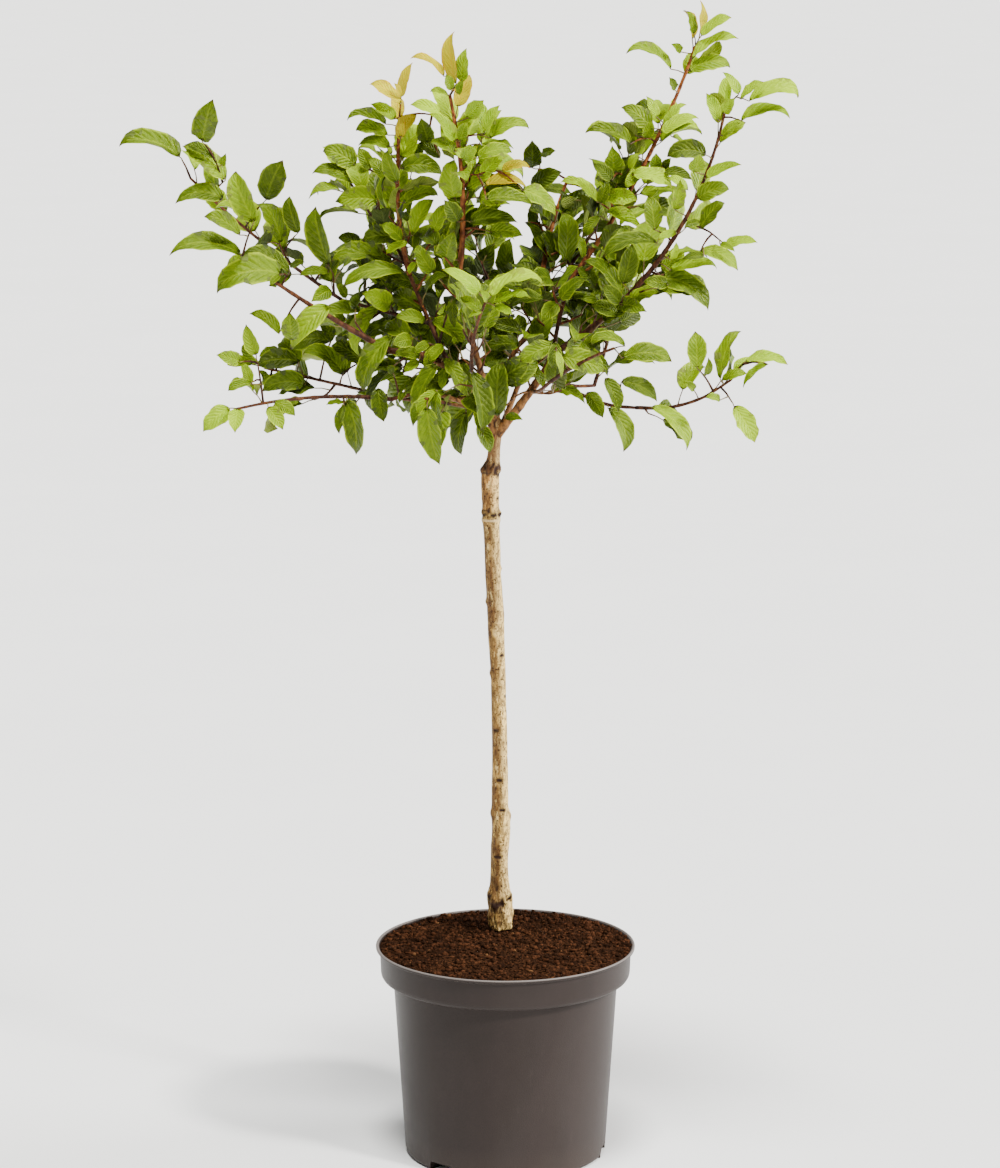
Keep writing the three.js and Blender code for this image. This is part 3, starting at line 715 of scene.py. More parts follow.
# %% Extrude the trunk
RING_STEP = 6.0
TRUNK_SIDES = 24
FINENESS = 2
bpy.ops.object.select_all(action="DESELECT")
bpy.ops.mesh.primitive_circle_add(
    vertices=TRUNK_SIDES,
    radius=station_value(2, 0) * MM,
    fill_type="NGON",
    location=trunk_point(0) * MM,
)
trunk = bpy.context.object
trunk.name = "trunk_bark"
bpy.ops.object.transform_apply(location=True)
bpy.ops.object.mode_set(mode="EDIT")
bpy.ops.mesh.select_all(action="SELECT")
rings = round(TRUNK_HEIGHT / RING_STEP)
for i in range(1, rings + 1):
    low, high = TRUNK_HEIGHT * (i - 1) / rings, TRUNK_HEIGHT * i / rings
    move = (trunk_point(high) - trunk_point(low)) * MM
    growth = station_value(2, high) / station_value(2, low)
    bpy.ops.mesh.extrude_region_move(TRANSFORM_OT_translate={"value": move})
    bpy.ops.transform.resize(value=(growth, growth, 1), center_override=trunk_point(high) * MM)
bpy.ops.mesh.select_all(action="SELECT")
bpy.ops.mesh.normals_make_consistent(inside=False)
bpy.ops.object.mode_set(mode="OBJECT")
fine = trunk.modifiers.new("fine", "SUBSURF")
fine.levels = FINENESS
fine.render_levels = FINENESS
bpy.ops.object.modifier_apply(modifier="fine")
print("trunk", len(trunk.data.polygons), "faces")

# %% Carve the bark
# Each knot: height, bearing, spread and how far it stands out (less than 0 is a hollow)
KNOTS = [
    (112, 5, 6, 1.7), (114, 178, 6, 1.4), (265, -50, 3, -1.4), (270, -50, 5, 1.0),
    (194, -118, 2.8, -1.6), (198, -120, 5, 1.1), (147, -95, 3.4, -1.5), (143, -86, 5, 0.8),
    (118, -72, 3.2, -1.4), (73, -100, 3.6, -1.6), (69, -98, 6, 1.3), (248, -172, 4, 1.1),
    (346, 2, 3, 1.3), (315, 178, 3, 1.2), (36, -30, 4, 1.8), (32, -40, 3, -1.8),
    (36, -158, 5, 1.7), (26, -120, 5, 1.6), (19, -70, 4, 1.5), (12, -110, 4, 1.3),
    (28, -85, 3, -1.6), (10, -50, 5, 1.2), (16, -150, 4, 1.4), (14, 10, 5, 1.2),
    (30, 60, 7, 1.4), (18, 130, 7, 1.2), (26, 160, 4, -1.6), (20, 70, 4, -1.6),
    (398, 185, 3.2, 1.8), (398, -8, 3.2, 1.8), (397, -60, 3, 1.3), (439, 178, 4.5, 1.9),
    (438, -10, 4.5, 1.5), (352, 90, 5, 1.2), (210, 60, 5, 1.0), (150, 130, 4, 0.9),
    (440, -80, 5, 1.2), (433, -20, 3, -0.8), (300, 80, 3, -1.2), (168, 20, 2.6, -1.2),
    (226, -20, 2.4, -1.1), (412, -30, 2.6, -1.0),
]
# Heights above the foot, in millimetres
FLARE_HEIGHT = 60.0
FOOT_CLUMPS_HEIGHT = 31.0
RING_HEIGHT = 391.5
SCAR_HEIGHT = 397.0
SCAR_PATCH_HEIGHT = 402.0
COLLAR_HEIGHT = 441.0
UNDER_COLLAR = 5.6
# A hollow is flatter than a knot, and its middle is painted as dark as a crack, a painted shade
HOLLOW_FLATNESS = 0.55
HOLLOW_PAINTED_SHADE = 3.2
# The bearing of the side that is painted paler, a painted highlight towards the key light
LIT_SIDE_BEARING = -0.55
TRUNK_CORE = 1.5
TRUNK_SUNK = 3.0


def bell(offset, width, power=2):
    """A hump that is 1 where the offset is 0, and falls to almost nothing a few widths away."""
    return math.exp(-((offset / width) ** power))


def bark_relief(height, bearing):
    """How far the bark stands out in millimetres, how dark a crack is painted (partly painted shade in
    hollows and under the collar), and the collar's share.
    """
    radius = station_value(2, height)
    flare = max(0.0, 1 - height / FLARE_HEIGHT)
    x, y = math.cos(bearing), math.sin(bearing)
    out = 0.07 * flare * radius * math.cos(3 * bearing + 0.5)
    out += 0.34 * noise.fractal(Vector((x * 1.6, y * 1.6, height * 0.03)), 0.9, 2.2, 5)
    fibres = noise.fractal(Vector((x * 5.5, y * 5.5, height * 0.10)), 0.7, 2.1, 4)
    out += (0.20 + 1.1 * flare) * fibres
    out += 2.2 * flare * noise.noise(Vector((x * 2.6, y * 2.6, height * 0.14)))
    # Dark cracks where the fibres sink in: their own colour, and painted shade in the low bark
    crack_and_shade = max(0.0, -fibres - 0.3) * (0.6 + 1.6 * flare)
    for knot_height, knot_bearing, spread, size in KNOTS:
        turn = (bearing - math.radians(knot_bearing) + math.pi) % math.tau - math.pi
        across = turn * radius / spread
        along = (height - knot_height) / (spread if size > 0 else spread * HOLLOW_FLATNESS)
        knot = math.exp(-1.6 * (across * across + along * along))
        out += size * knot
        if size < 0:
            # painted shade in the middle of a hollow
            crack_and_shade += HOLLOW_PAINTED_SHADE * knot
    wander = 0.8 * noise.noise(Vector((x * 2.2, y * 2.2, 5.5)))
    scar = bell(height - SCAR_HEIGHT - 2.2 * wander, 2.6)
    out += (0.9 * math.sin(5 * bearing + 1.0) - 0.4) * scar + 0.7 * bell(height - RING_HEIGHT, 1.8)
    patches = noise.noise(Vector((x * 3.6, y * 3.6, height * 0.34)))
    below = 1.6 * max(0.0, patches) * bell(height - SCAR_PATCH_HEIGHT, 3.4)
    crack_and_shade += scar * (1.0 + 1.2 * patches) + below
    collar = bell(height - COLLAR_HEIGHT - 2.6 * wander, 5.0, 4)
    lumps = noise.noise(Vector((x * 2.9, y * 2.9, height * 0.2)))
    out += collar * (0.3 + 1.5 * lumps)
    # Painted shade where the collar's lumps sink in, and a painted shadow in a line under the collar
    crack_and_shade += collar * max(0.0, 0.2 - lumps) * 2.6
    crack_and_shade += 0.9 * bell(height - COLLAR_HEIGHT + UNDER_COLLAR - 1.6 * wander, 1.3)
    clumps = noise.noise(Vector((x * 1.7, y * 1.7, height * 0.12 + 3.0)))
    crack_and_shade += 2.6 * max(0.0, clumps - 0.02) * bell(height - FOOT_CLUMPS_HEIGHT, 13)
    return out, min(1.0, crack_and_shade), collar


def write_layer(mesh, name, values):
    """Writes a number on each corner of a mesh, for a material to read."""
    mesh.attributes.new(name, "FLOAT", "POINT").data.foreach_set("value", values)


bark_layers = {"crack_and_shade": [], "collar": [], "lit_side": []}
for corner in trunk.data.vertices:
    place = corner.co / MM
    height = min(TRUNK_HEIGHT, max(0.0, place.z - TRUNK_FOOT))
    axis = trunk_point(height)
    flat = Vector((place.x - axis.x, place.y - axis.y, 0))
    crack_and_shade = collar = lit_side = 0.0
    if flat.length > TRUNK_CORE:
        bearing = math.atan2(flat.y, flat.x)
        out, crack_and_shade, collar = bark_relief(height, bearing)
        # how much a corner faces the lit side, for the painted highlight
        lit_side = max(0.0, math.cos(bearing - LIT_SIDE_BEARING))
        corner.co += flat.normalized() * out * MM
    for name, value in (("crack_and_shade", crack_and_shade), ("collar", collar), ("lit_side", lit_side)):
        bark_layers[name].append(value)
    corner.co.z = max(corner.co.z, (TRUNK_FOOT - TRUNK_SUNK) * MM)
for name, values in bark_layers.items():
    write_layer(trunk.data, name, values)
smooth(trunk.data)
print("bark carved, widest", round(max(trunk.dimensions[:2]) / MM, 1), "mm")

# %% [markdown]
# The bark is tan with brown flecks that run up the stem, browner below the scar, smooth and
# orange-tan above it. The side towards the key light is painted paler, a painted highlight. The scar
# itself and the collar under the fork are dark, and the cracks, the hollows and a line under the collar
# are painted dark, partly their own colour and partly painted shade. The zones are heights, so they are
# masks on the Object coordinate z, while cracks and painted shade, collar and lit side are attributes
# that were written as the bark was carved. Each coat of colour lies over the last, so the pores and the
# cracks come late and stay dark.


# %% Trunk bark
TAN_DARK = (0.21, 0.105, 0.026)
TAN_LIGHT = (0.63, 0.395, 0.105)
MIDDLE_BROWN = (0.19, 0.100, 0.034)
UPPER_ORANGE = (0.66, 0.310, 0.080)
FOOT_TAN = (0.34, 0.200, 0.060)
PALE_FLAKE = (0.94, 0.69, 0.27)
STAIN = (0.12, 0.054, 0.014)
# Painted highlight on the side towards the key light
LIT_SIDE_HIGHLIGHT = (0.96, 0.69, 0.25)
STREAK = (0.075, 0.032, 0.009)
PORE = (0.030, 0.010, 0.003)
FORK_BROWN = (0.17, 0.082, 0.032)
PALE_RING = (0.70, 0.50, 0.25)
COLLAR_DARK = (0.055, 0.020, 0.006)
# Cracks, and painted shade in hollows, in sunk bark and under the collar
CRACK_AND_SHADE_DARK = (0.020, 0.007, 0.003)


def zone(tree, height, low, high, soft):
    """A mask that is 1 between two heights above the foot, in millimetres, with soft ends."""
    foot_level = TRUNK_FOOT * MM
    start = ramp(tree, height, foot_level + (low - soft) * MM, foot_level + low * MM)
    end = ramp(tree, height, foot_level + high * MM, foot_level + (high + soft) * MM, 1.0, 0.0)
    return scaled(tree, start, end)


bark, tree, shader = new_material("trunk_bark", 0.62, Specular_IOR_Level=0.15)
height = height_of(tree)
broad = place_group(tree, flecks, Scale=38.0, Stretch=0.5, From=0.42, To=0.60)
stains = place_group(tree, flecks, Scale=120.0, Stretch=0.4, From=0.47, To=0.56)
streaks = place_group(tree, flecks, Scale=380.0, Stretch=0.35, From=0.47, To=0.56)
pale = place_group(tree, flecks, Scale=210.0, Stretch=0.3, From=0.54, To=0.63)
pores = place_group(tree, flecks, Scale=620.0, Stretch=0.8, From=0.55, To=0.61)
tone = layered(tree, blend(tree, TAN_DARK, TAN_LIGHT, broad["Mask"]), (
    (MIDDLE_BROWN, zone(tree, height, 300, 385, 20), 0.6),
    (UPPER_ORANGE, zone(tree, height, 402, 440, 4), 0.65),
    (FOOT_TAN, zone(tree, height, -10, 26, 20), 0.6),
    (PALE_FLAKE, pale["Mask"], 0.55),
    (STAIN, stains["Mask"], 0.72),
    # painted highlight: the lit side is painted paler
    (LIT_SIDE_HIGHLIGHT, ramp(tree, layer_of(tree, "lit_side"), 0.4, 0.97), 0.62),
    (STREAK, streaks["Mask"], 0.62),
    (PORE, pores["Mask"], 0.9),
    (FORK_BROWN, zone(tree, height, 452, 500, 8), 0.6),
    (PALE_RING, zone(tree, height, 391.4, 392.6, 0.8), 0.7),
    (COLLAR_DARK, layer_of(tree, "collar"), 0.9),
    # cracks, partly painted shade in hollows, sunk bark and under the collar
    (CRACK_AND_SHADE_DARK, layer_of(tree, "crack_and_shade"), 1.0),
))
tree.links.new(tone, shader.inputs["Base Color"])
relief(tree, shader, streaks["Height"], 0.0018)
trunk.data.materials.append(bark)
dress(trunk, "trunk_bark", "trunk")

# %% [markdown]
# ## How the crown grows
# The crown follows one rule. Each bough leaves its parent at a bearing and a rise, turns and lifts
# evenly, and ends where its shoot begins. A shoot carries a leaf at every node, each turned on by
# 144 degrees from the last, and a side twig at some nodes. The rule and the numbers are those of the
# solid model, so the limbs run in the same places. Here it is carried on to finer twigs and more
# leaves, and the crossing test uses mathutils' BVHTree in place of solids. Four limbs start further
# out and one shoot is turned, where the photograph shows sky and the solid model's limb would cross it.

# %% The limbs' numbers
# name, parent, place on it, bearing, rise, turn, lift, length, radius
BOUGH_KEYS = ("name", "parent", "at", "bearing", "rise", "turn", "lift", "length", "radius")
BOUGHS = [dict(zip(BOUGH_KEYS, row)) for row in (
    ("right", "trunk", 0.965, -18, 50, -4, 7, 98, 4.2),
    ("left", "trunk", 0.955, -136, 78, -38, -76, 145, 4),
    ("leader", "trunk", 0.975, 88, 77, -73, -29, 97, 3.4),
    ("centre", "trunk", 0.985, -124, 63, 9, 1, 152, 3.2),
    ("back_right", "trunk", 0.96, 55, 48, 12, 3, 119, 3.4),
    ("back_left", "trunk", 0.97, 128, 47, 15, -8, 132, 3.4),
    ("right_low", "right", 0.62, -24, -25, 0, 32, 100, 2.4),
    ("right_top", "right", 0.92, 68, 72, -30, -7, 73, 2.7),
    ("left_top", "left", 0.58, 171, 64, -1, 4, 93, 2.8),
    ("left_far", "left_top", 0.5, 153, 9, 0, 2, 92, 2.4),
    ("left_peak", "left_top", 0.88, 116, 46, 9, -6, 61, 2),
    ("left_low", "left", 0.1, -146, 48, -10, -62, 112, 2.8),
    ("left_inner", "left", 0.33, 156, -17, -2, 25, 88, 2.3),
    ("front", "centre", 0.06, -98, 36, -12, -6, 96, 2.6),
    ("front_low", "left", 0.06, -118, 33, -7, -16, 81, 2.4),
    ("front_right", "right", 0.12, -60, 29, -3, 3, 97, 2.6),
    ("back", "back_left", 0.12, 90, 33, -12, 0, 105, 2.8),
    ("back_low_left", "back_left", 0.2, 130, 12, 8, -4, 104, 2.6),
    ("back_low_right", "back_right", 0.2, 42, 12, -5, -4, 108, 2.6),
)]
# name, bearing, rise, turn, lift, length, leaf, spur, tip leaf and its rise, and from where along
# the shoot its leaves are fresh, lime and golden (9 is never)
MASS_KEYS = (
    "name", "bearing", "rise", "turn", "lift", "length", "leaf", "spur", "tip", "tip_rise", "sprays",
)
MASSES = [dict(zip(MASS_KEYS, row)) for row in (
    ("right", -13, 32, -24, 44, 275, 47, 44, 44, 8, (0.3, 0.66, 9)),
    ("left", -160, 29, 4, 7, 163, 50, 40, 44, -8, (0.45, 9, 9)),
    ("leader", 42, 48, -3, -1, 151, 48, 40, 38, 40, (0.5, 9, 9)),
    ("centre", -42, 81, -125, -2, 168, 46, 34, 34, 86, (0.1, 0.3, 0.86)),
    ("back_right", 84, 66, -40, -6, 156, 48, 42, 36, 50, (0.7, 9, 9)),
    ("back_left", 125, 45, 15, -10, 147, 50, 42, 38, 30, (0.7, 9, 9)),
    ("right_low", -13, -5, -3, 46, 93, 42, 30, 42, 12, (0.3, 0.9, 9)),
    ("right_top", 17, 51, 11, 17, 241, 45, 32, 26, 82, (0.25, 0.52, 0.93)),
    ("left_top", -182, 76, 154, 12, 134, 46, 36, 28, 74, (0.1, 0.35, 0.84)),
    ("left_far", 165, 31, -2, 11, 179, 50, 34, 52, 12, (0.35, 9, 9)),
    ("left_peak", 145, 36, -11, 14, 65, 46, 34, 36, 30, (0.3, 9, 9)),
    ("left_low", -160, 9, 1, -19, 144, 36, 24, 34, -22, (0.35, 0.9, 9)),
    ("left_inner", 161, 10, 0, -1, 127, 42, 34, 34, 5, (0.5, 9, 9)),
    ("front", -92, 39, 21, 1, 110, 46, 36, 32, 35, (0.8, 9, 9)),
    ("front_low", -113, 14, 1, -4, 87, 41, 28, 38, -6, (0.4, 9, 9)),
    ("front_right", -57, 28, 3, -10, 105, 50, 40, 42, 5, (0.45, 9, 9)),
    ("back", 96, 38, 11, -1, 155, 50, 42, 38, 30, (0.6, 9, 9)),
    ("back_low_left", 132, 7, 1, 0, 128, 50, 40, 40, -5, (0.6, 9, 9)),
    ("back_low_right", 48, 16, -1, 0, 128, 50, 40, 40, 5, (0.6, 9, 9)),
)]
NODE_STEP = 16
SHOOT_STEP = 30
BOUGH_STEP = 24
BOUGH_TAPER = 0.72
SHOOT_TIP_RADIUS = 1.15
LEAF_SPIRAL = 144
LEAF_STALK = 14
LEAF_DROOP = 0.3
LEAF_TRIES = 5
TRY_TURN = 31
UP = Vector((0, 0, 1))
LIGHT_SIDE = Vector((0, -0.4, 0.7))
RISE_ON_STEEP_STEM = 0.4
print(len(BOUGHS), "boughs,", len(MASSES), "masses")


# %% Paths of limbs
def compass(bearing, rise):
    """A direction from its bearing and its rise above level, in degrees."""
    level = math.cos(math.radians(rise))
    x, y = math.cos(math.radians(bearing)), math.sin(math.radians(bearing))
    return Vector((x * level, y * level, math.sin(math.radians(rise))))


def limb_path(start, limb, step):
    """The points of a limb that turns and lifts evenly from its start."""
    steps = max(2, int(limb["length"] / step + 0.5))
    points = [start.copy()]
    for i in range(steps):
        t = (i + 0.5) / steps
        heading = compass(limb["bearing"] + limb["turn"] * t, limb["rise"] + limb["lift"] * t)
        points.append(points[i] + heading * limb["length"] / steps)
    return points


def point_along(points, fraction):
    """The place at a fraction of a path's length."""
    place = fraction * (len(points) - 1)
    i = min(len(points) - 2, int(place))
    return points[i].lerp(points[i + 1], place - i)


def node_on(points, fraction):
    """Where a leaf or a twig springs from a stem, and which way the stem runs there."""
    i = min(len(points) - 2, int(fraction * (len(points) - 1)))
    return point_along(points, fraction), (points[i + 1] - points[i]).normalized()


def eased(points, step):
    """A smooth curve through the points of a path, with a point every few millimetres."""
    ends = [2 * points[0] - points[1], *points, 2 * points[-1] - points[-2]]
    curve = []
    for i in range(1, len(ends) - 2):
        before, a, b, after = ends[i - 1 : i + 3]
        pieces = max(1, round((b - a).length / step))
        for k in range(pieces):
            t = k / pieces
            curve.append(0.5 * (
                2 * a
                + (b - before) * t
                + (2 * before - 5 * a + 4 * b - after) * t * t
                + (3 * a - before - 3 * b + after) * t * t * t
            ))
    return curve + [points[-1].copy()]


limbs = {}
for bough in BOUGHS:
    if bough["parent"] == "trunk":
        start = trunk_point(bough["at"] * TRUNK_HEIGHT)
    else:
        start = point_along(limbs[bough["parent"]], bough["at"])
    limbs[bough["name"]] = limb_path(start, bough, BOUGH_STEP)

# Where the photograph shows sky, one shoot is turned to run behind the crown, and under the fork a
# limb leaves its parent further out and keeps its end
SKY_TURNS = {"back_low_right": (74, 36)}
LATER_STARTS = {
    "front_right": ("right", 0.55),
    "back_low_right": ("back_right", 0.62),
    "front_low": ("left", 0.2),
    "right_low": ("right", 0.8),
}
START_EASING = 1.4
for name, (parent, at) in LATER_STARTS.items():
    path = limbs[name]
    shift = point_along(limbs[parent], at) - path[0]
    last = len(path) - 1
    limbs[name] = [point + shift * (1 - i / last) ** START_EASING for i, point in enumerate(path)]
for mass in MASSES:
    if mass["name"] in SKY_TURNS:
        mass["bearing"], mass["rise"] = SKY_TURNS[mass["name"]]
print("highest bough tip", round(max(path[-1].z for path in limbs.values())), "mm")


# %% Tubes along a path
def tube(points, radii, sides, corners, faces):
    """Adds a closed tube along a path to lists of corners and faces."""
    first = len(corners)
    start = (points[1] - points[0]).normalized()
    across = Vector((1, 0, 0)) if abs(start.x) < 0.9 else Vector((0, 1, 0))
    for i, point in enumerate(points):
        along = (points[min(len(points) - 1, i + 1)] - points[max(0, i - 1)]).normalized()
        across = (across - along * across.dot(along)).normalized()
        over = along.cross(across)
        for k in range(sides):
            angle = math.tau * k / sides
            radius = radii[i](angle) if callable(radii[i]) else radii[i]
            corners.append(point + (across * math.cos(angle) + over * math.sin(angle)) * radius)
    for i in range(len(points) - 1):
        for k in range(sides):
            a = first + i * sides + k
            b = first + i * sides + (k + 1) % sides
            faces.append((a, b, b + sides, a + sides))
    last = first + (len(points) - 1) * sides
    faces.append(tuple(first + k for k in reversed(range(sides))))
    faces.append(tuple(last + k for k in range(sides)))


print("tube maker ready")

# %% [markdown]
# ## Leaves
# An apricot blade here is an ellipse with a drawn-out tip. It is folded along its midrib, arches
# over and curls down at the end, and its edge is finely toothed. One plan of points serves them all:
# rows of five points from base to tip on top, and a midrib underneath that meets the same edge, so a
# blade is a thin closed body of 72 faces. Each leaf bends the plan by its own draws.

# %% The blade's plan
BLADE_ROWS = 12
BLADE_WIDTHS = (0.0, 0.34, 0.64, 0.85, 0.97, 1.0, 0.98, 0.90, 0.76, 0.52, 0.24, 0.08, 0.0)
BLADE_PLACES = (0.0, 0.045, 0.12, 0.21, 0.31, 0.42, 0.53, 0.64, 0.74, 0.83, 0.905, 0.965, 1.0)
ACROSS = (-1.0, -0.5, 0.0, 0.5, 1.0)


def blade_faces():
    """Faces of the plan: top first, then the underside."""
    rows = BLADE_ROWS - 1
    tip = 1 + rows * 5
    under = tip + 1
    top = [(0, 1 + k + 1, 1 + k) for k in range(4)]
    for i in range(rows - 1):
        for k in range(4):
            a = 1 + i * 5 + k
            top.append((a, a + 1, a + 6, a + 5))
    last = 1 + (rows - 1) * 5
    top += [(last + k, last + k + 1, tip) for k in range(4)]
    top = [tuple(reversed(face)) if face[0] == 0 else face for face in top]
    below = [(0, under, 1), (0, 5, under)]
    for i in range(rows - 1):
        left, right, middle = 1 + i * 5, 5 + i * 5, under + i
        below += [(middle, middle + 1, left + 5, left), (right, right + 5, middle + 1, middle)]
    below += [(tip, under + rows - 1, last), (tip, last + 4, under + rows - 1)]
    return top, below


TOP_FACES, UNDER_FACES = blade_faces()
BLADE_FACES = len(TOP_FACES) + len(UNDER_FACES)
BLADE_CORNERS = 1 + (BLADE_ROWS - 1) * 5 + 1 + (BLADE_ROWS - 1)
print(BLADE_FACES, "faces a leaf,", BLADE_CORNERS, "corners")


# %% Bend a blade
CURL_FROM = 0.62
TWIST_PIVOT = 0.35
BELLY_PIVOT = 0.45
TOOTH_DEPTH = 0.04
TOOTH_STEP = 2.6
BLADE_THICKNESS = 0.45


def spine_of(leaf):
    """Places and frames along a leaf's midrib: it rises from the stem, arches over and curls down."""
    side = leaf["along"].cross(leaf["normal"])
    frames = []
    place = leaf["root"].copy()
    before = -leaf["stalk"] / leaf["blade"]
    for u in BLADE_PLACES:
        curled = max(0.0, (u - CURL_FROM) / (1 - CURL_FROM)) ** 2
        pitch = leaf["bend"] * (0.5 - u) - leaf["curl"] * curled
        way = leaf["along"] * math.cos(pitch) + leaf["normal"] * math.sin(pitch)
        way = (way + side * leaf["sway"] * (0.5 - u)).normalized()
        place = place + way * (u - before) * leaf["blade"]
        before = u
        face = (leaf["normal"] + side * leaf["twist"] * (u - TWIST_PIVOT)).normalized()
        face = (face - way * face.dot(way)).normalized()
        frames.append((place.copy(), way.cross(face), face))
    return frames


def blade_points(leaf, rows, across):
    """Points of the top of a blade, row by row, in the crown's own place."""
    points = []
    for i in rows:
        middle, side, face = leaf["spine"][i]
        half = 0.5 * leaf["width"] * leaf["blade"] * BLADE_WIDTHS[i]
        half *= 1 + leaf["belly"] * (BLADE_PLACES[i] - BELLY_PIVOT)
        for v in across:
            rim = abs(v)
            tooth = 1 + TOOTH_DEPTH * (rim == 1) * math.sin(i * TOOTH_STEP + leaf["phase"] * 40 + v)
            wave = math.sin(math.tau * (BLADE_PLACES[i] * leaf["waves"] + leaf["phase"] + 0.25 * v))
            rise = rim * math.sin(leaf["fold"]) - leaf["roll"] * v * v + leaf["ripple"] * v * v * wave
            points.append(middle + (side * v * tooth * math.cos(leaf["fold"]) + face * rise) * half)
    return points


def blade_corners(leaf):
    """All corners of one leaf in the order of the plan."""
    rows = blade_points(leaf, range(1, BLADE_ROWS), ACROSS)
    base, tip = blade_points(leaf, (0, BLADE_ROWS), (0.0,))
    drop = leaf["normal"] * BLADE_THICKNESS
    under = [rows[i * 5 + 2] - drop for i in range(BLADE_ROWS - 1)]
    return [base, *rows, tip, *under]


def blade_coordinates():
    """Where each corner of the plan lies in the UV map."""
    rows = [(0.5 + 0.5 * v, BLADE_PLACES[i]) for i in range(1, BLADE_ROWS) for v in ACROSS]
    under = [(0.5, BLADE_PLACES[i]) for i in range(1, BLADE_ROWS)]
    return [(0.5, 0.0), *rows, (0.5, 1.0), *under]


print("blade ready")

# %% [markdown]
# ## The growing rule
# A leaf is tried at its own place on the spiral, then turned to either side of it, and left out where
# it would cross another leaf or a limb, reach out of the solid model's box, hide a measured leaf or
# hang in a patch of open sky. Its size, droop and opening follow its age: old leaves stand wide open
# and droop, young ones are small and upright.

# %% Room for a leaf
REACH = [corner / MM for corner in cad_box]
SPARE = 6.0
ROOM_ROWS = (1, 3, 5, 8, 11)
placed = []
limb_trees = []


def box_of(points):
    """The lowest and highest corner of the box round some points."""
    low = Vector((min(p[k] for p in points) for k in range(3)))
    high = Vector((max(p[k] for p in points) for k in range(3)))
    return low, high


def boxes_meet(one, other):
    """Whether two boxes share any room."""
    return all(one[0][k] <= other[1][k] and other[0][k] <= one[1][k] for k in range(3))


def has_room(leaf):
    """Whether a leaf stays in reach and crosses nothing; if so, it takes its place."""
    points = blade_points(leaf, ROOM_ROWS, (-1.0, 0.0, 1.0))
    box = box_of(points)
    inside = all(REACH[0][k] - SPARE < box[0][k] and box[1][k] < REACH[1][k] + SPARE for k in range(3))
    if not inside:
        return False
    faces = []
    for i in range(len(ROOM_ROWS) - 1):
        for k in range(2):
            a = i * 3 + k
            faces += [(a, a + 1, a + 4), (a, a + 4, a + 3)]
    shape = BVHTree.FromPolygons(points, faces)
    for other_box, other in placed + limb_trees:
        if boxes_meet(box, other_box) and shape.overlap(other):
            return False
    placed.append((box, shape))
    return True


bough_of = {bough["name"]: bough for bough in BOUGHS}
for name, path in limbs.items():
    corners, faces = [], []
    tube(path, [bough_of[name]["radius"]] * len(path), 6, corners, faces)
    limb_trees.append((box_of(corners), BVHTree.FromPolygons(corners, faces)))
print("room is tested against", len(limb_trees), "limbs")

# %% Leaves on their stems
LOOKS_SEED = 777
# How much a leaf turns to the outside and along its stem, turns at random, and varies in size
OUTWARD_TURN = 0.25
RANDOM_TURN = 1.1
SIZE_SPREAD = 0.32
leaves = []
looks = seeded(LOOKS_SEED)


def sideways(heading, spiral, opening):
    """A direction that leaves the stem at an opening angle, on the side of the spiral angle."""
    level = Vector((1, 0, 0)) if abs(heading.z) > 0.97 else heading.cross(UP).normalized()
    over = level.cross(heading)
    radial = level * math.cos(math.radians(spiral)) + over * math.sin(math.radians(spiral))
    return heading * math.cos(math.radians(opening)) + radial * math.sin(math.radians(opening))


def pose_leaf(root, heading, spiral, place, draw):
    """One leaf: it droops a little and turns its face to the light, with draws of its own."""
    along = sideways(heading, spiral, place["opening"])
    along.z -= (place["droop"] - RISE_ON_STEEP_STEM * max(0.0, heading.z)) * (0.5 + draw())
    along.normalize()
    outward = Vector((root.x, root.y, 0)).normalized()
    face = LIGHT_SIDE + (outward + heading) * OUTWARD_TURN + scatter(draw, RANDOM_TURN)
    return {
        "root": root,
        "along": along,
        "normal": (face - along * face.dot(along)).normalized(),
        "blade": place["blade"] * (1 + (draw() - 0.5) * SIZE_SPREAD),
        "stalk": LEAF_STALK,
    }


print("a leaf stands", LEAF_STALK, "mm off its stem")


# %% A leaf's own habit
def bend_leaf(leaf, young):
    """Gives a leaf its own arch, curl, fold, waves and width, by draws in this order."""
    leaf["bend"] = 0.35 + 1.0 * looks() * (1 - 0.4 * young)
    leaf["curl"] = 0.2 + 0.9 * looks()
    leaf["fold"] = 0.16 + 0.46 * looks() + 0.16 * young
    leaf["roll"] = -0.06 + 0.36 * looks()
    leaf["ripple"] = 0.05 + 0.17 * looks()
    leaf["waves"] = 1.2 + 1.6 * looks()
    leaf["phase"] = looks()
    leaf["twist"] = (looks() - 0.5) * 1.4
    leaf["sway"] = (looks() - 0.5) * 0.7
    leaf["width"] = 0.50 + 0.13 * looks() - 0.05 * young
    leaf["shade"] = looks()
    leaf["belly"] = looks() * 1.3 - 0.7


print("each leaf takes 12 draws for its own habit")


# %% Try a leaf
OLD_OPENING = 66
OPENING_LOST = 30
YOUNG_SMALLER = 0.4
YOUNG_FROM, YOUNG_OVER = 0.55, 0.45
TIP_OVERLAP = 3


def grow_leaf(root, heading, place, draw, tint):
    """Tries a leaf at its own place on the spiral and then turned to either side of it."""
    for turn in range(LEAF_TRIES):
        aside = math.ceil(turn / 2) * (1 if turn % 2 else -1) * TRY_TURN
        leaf = pose_leaf(root, heading, place["spiral"] + aside, place, draw)
        bend_leaf(leaf, place["young"])
        leaf["spine"] = spine_of(leaf)
        if stays_behind(leaf) and has_room(leaf):
            leaf["tint"] = tint
            leaves.append(leaf)
            return


